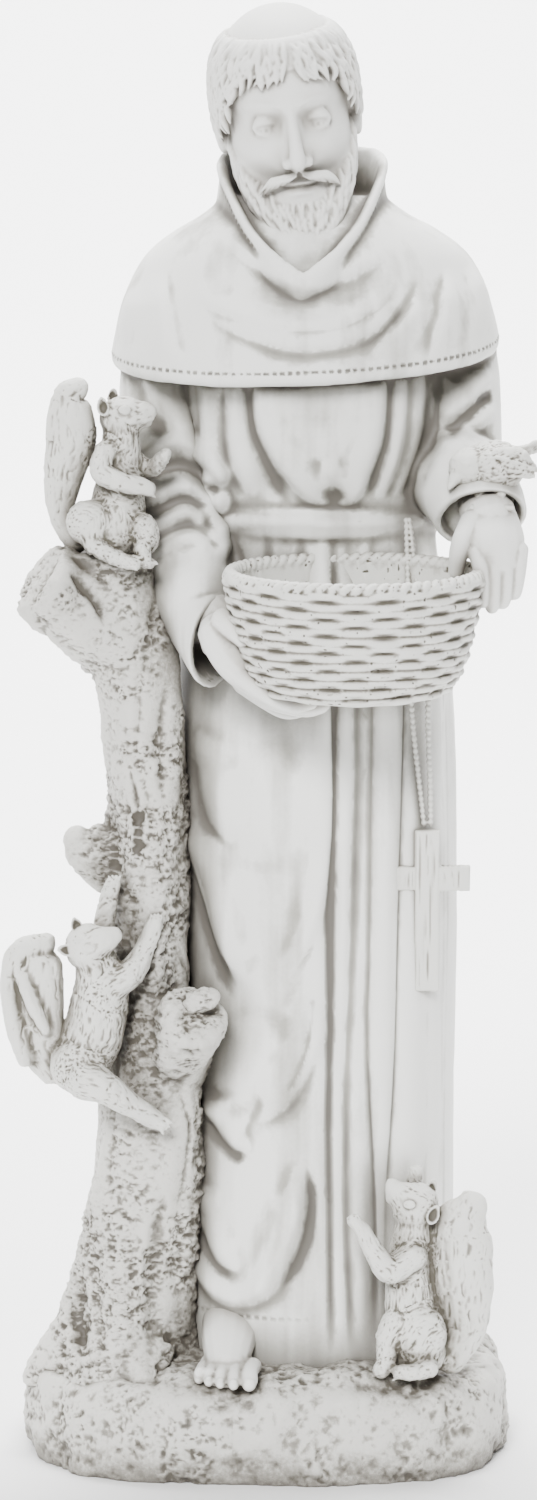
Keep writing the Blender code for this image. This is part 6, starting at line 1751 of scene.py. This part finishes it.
def creatures():
    """Each animal's name, body, details, lines its fur is combed along, place and smooth spots."""
    sitter = creature_place(trunk_place((-107, -50, 602)), SQUIRREL_HEIGHT, SQUIRREL_UNITS)
    climber = creature_place(trunk_place((-117, -74, 298)), SQUIRREL_HEIGHT, SQUIRREL_UNITS)
    beggar = creature_place((0.118, -0.084, PLINTH_HEIGHT - 0.004), SQUIRREL_HEIGHT, SQUIRREL_UNITS)
    songbird = creature_place(figure_place((142, -72, 655)), BIRD_LENGTH, BIRD_UNITS)
    coat, plume = (0.0014, 0.0060), (0.0022, 0.0160)
    return (
        (
            "sitting_squirrel",
            without(sitting_squirrel(), 4, 5, 6),
            [
                ear((2, -9.5, 89), (-0.3, -1, 0.2), (-0.25, 0, 1), 5.4),
                ear((7, 2, 95), (0.2, -1, 0.3), (0.1, 0, 1), 4.6),
                *eye((15, -13.6, 88), (0.15, -1, 0.15), 2.7),
                ball((33, -3, 86), (2.4, 3.2, 2.2)),
                tube([(24, -9, 80, 1.7), (29, -8.2, 81, 1.5), (33, -5, 82, 1.1)], sides=8),
                *toes((30, -18, 38), (0.75, -0.1, -0.5), (-0.3, -0.5, 0.8), 2.3),
                *toes((40, -7, 58), (0.7, -0.5, 0.3), (0.2, 0.6, 0.8), 2.0),
                *toes((20, -24, -8), (0.85, -0.4, -0.25), (0.3, 0.4, 0.85), 2.7),
                *toes((30, -22, -8), (0.5, -0.7, -0.4), (0.8, 0.5, 0.1), 2.5),
            ],
            [
                ([(30, -3, 87), (14, -3, 83), (12, 0, 60), (8, 0, 20), (6, 0, 0)], *coat),
                (
                    [(-17, 3, 2), (-26, 3, 19), (-25, 2, 43), (-20, 1, 67), (-20, 0, 97), (-14, -2, 102)],
                    *plume,
                ),
                ([(3, -10, 62), (0, -16, 49), (14, -19, 42), (31, -17, 37)], *coat),
                ([(-14, -18, 26), (-2, -20, 22), (4, -18, 6)], *coat),
            ],
            sitter,
            [((15, -14, 88), 0.006), ((33, -3, 84), 0.008), ((-4, -11, 88), 0.008), ((30, -20, 36), 0.005)],
        ),
        (
            "climbing_squirrel",
            [
                *without(climbing_squirrel(), 3, 4, 5),
                limb(
                    (-26, -4, 50, 7), (-42, -5, 46, 7.5), (-50, -4, 28, 6.5),
                    (-48, -4, 0, 6), (-40, -4, -26, 6),
                ),
                tube([(-44, -9, 34, 4), (-36, -13, 14, 5), (-26, -12, -6, 4)], sides=10),
            ],
            [
                ear((-6, -10, 61.5), (0.1, -1, 0.1), (-0.35, 0, 1), 5.0),
                ear((-11.5, -14, 47), (-0.2, -1, 0.15), (-1, 0, 0.15), 5.2),
                *eye((2, -22.0, 50), (0.0, -1, -0.1), 2.5),
                ball((19, -14, 59), (2.4, 3.2, 2.2)),
                tube([(10, -21, 51, 1.7), (15, -19.5, 53, 1.4), (19, -17, 55, 1.0)], sides=8),
                *toes((44, 1, 64), (0.2, -0.1, 1), (1, 0.2, 0), 2.4),
                *toes((17, 6, 88), (0.15, -0.2, 1), (1, 0.2, 0), 2.4),
                *toes((48, -9, -67), (0.75, -0.25, -0.6), (0.6, -0.2, 0.75), 3.0),
            ],
            [
                ([(18, -14, 57), (1, -9, 48), (8, -3, 20), (2, 0, -14), (-8, 4, -32)], *coat),
                ([(-20, 4, -38), (-30, 2, -18), (-33, 1, 6), (-34, 0, 28), (-32, -1, 48)], *plume),
                ([(-2, -16, -36), (14, -20, -43), (28, -14, -54), (49, -8, -68)], *coat),
                ([(12, -8, 22), (28, -8, 31), (44, 2, 64)], *coat),
            ],
            climber,
            [
                ((2, -22.5, 50), 0.006), ((18, -14, 57), 0.008),
                ((-7, -11, 62), 0.007), ((-12, -15, 47), 0.007),
            ],
        ),
        (
            "begging_squirrel",
            without(begging_squirrel(), 4, 5, 6),
            [
                ear((-12.5, -12.5, 107), (0.3, -1, 0.15), (0.5, 0, 1), 5.6),
                ear((-13, 1, 121.5), (0.2, -1, 0.2), (0.4, 0, 1), 4.6),
                *eye((-27, -15.0, 115), (-0.2, -1, 0.1), 2.7),
                ball((-39, -3, 127), (2.6, 3.2, 2.2)),
                tube([(-32, -10, 113, 1.8), (-37, -9, 118, 1.5), (-41, -6, 122, 1.1)], sides=8),
                *toes((-62, -20, 105), (-0.55, -0.1, 1), (0.8, -0.4, 0.4), 2.5),
                *toes((-22, 6, 131), (-0.15, -0.1, 1), (1, 0, 0.1), 2.3),
                *toes((-45, -20, 5), (-0.8, -0.5, -0.2), (0.4, -0.7, 0.3), 2.7),
                *toes((-33, -23, 5), (-0.9, -0.4, -0.1), (0.2, -0.4, 0.8), 2.4),
            ],
            [
                (
                    [(-38, -3, 125), (-23, -3, 111), (-26, -1, 82), (-27, 0, 60), (-24, 0, 36), (-20, 0, 14)],
                    *coat,
                ),
                ([(0, 2, 8), (8, 1, 30), (8, 0, 54), (6, -1, 78), (7, -2, 98), (14, -2, 118)], *plume),
                ([(-24, -11, 80), (-40, -17, 72), (-49, -20, 84), (-63, -20, 106)], *coat),
                ([(-8, -20, 40), (-22, -22, 34), (-30, -20, 18)], *coat),
            ],
            beggar,
            [((-27, -15, 115), 0.006), ((-38, -3, 124), 0.008), ((-11, -15, 106), 0.008)],
        ),
        (
            "perched_bird",
            without(bird(), 6),
            [
                *eye((-17, -16.4, 1.5), (-0.2, -1, 0.1), 1.5),
                *toes((-8, -15, -26), (-0.4, -0.8, -0.5), (1, 0, 0), 1.9, 3),
                *toes((5, -15, -26), (0.2, -0.8, -0.5), (1, 0, 0), 1.9, 3),
                *[quill(k) for k in range(4)],
            ],
            [([(-28, -15, -10), (-15, -6, -1), (0, 0, 0), (12, 3, 5), (31, 9, 13)], 0.0013, 0.0036)],
            songbird,
            [((-17, -17, 1), 0.010), ((-26, -14, -11), 0.007)],
        ),
    )


def main():
    cloth = glaze_and_painted_shade("cloth_stone", *CLOTH_GLAZE_AND_SHADE)
    flesh = glaze_and_painted_shade("flesh_stone", *FLESH_GLAZE_AND_SHADE)
    rock = glaze_and_painted_shade("rock_stone", *ROCK_GLAZE_AND_SHADE)
    animal = glaze_and_painted_shade("animal_stone", *ANIMAL_GLAZE_AND_SHADE)
    coarse = 1.0
    make_cloth(0.00125 * coarse, 185000, cloth)
    make_head(0.00060 * coarse, 140000, flesh)
    make_limbs(0.00080 * coarse, 36000, flesh)
    make_trunk(0.00105 * coarse, 140000, rock)
    make_plinth(0.00120 * coarse, 75000, rock)
    make_basket(0.00062 * coarse, 130000, animal)
    make_rosary(0.00060 * coarse, 26000, animal)
    for creature in creatures():
        make_creature(*creature, 0.00066 * coarse, 52000, animal)
    make_stage()
    make_view()


main()
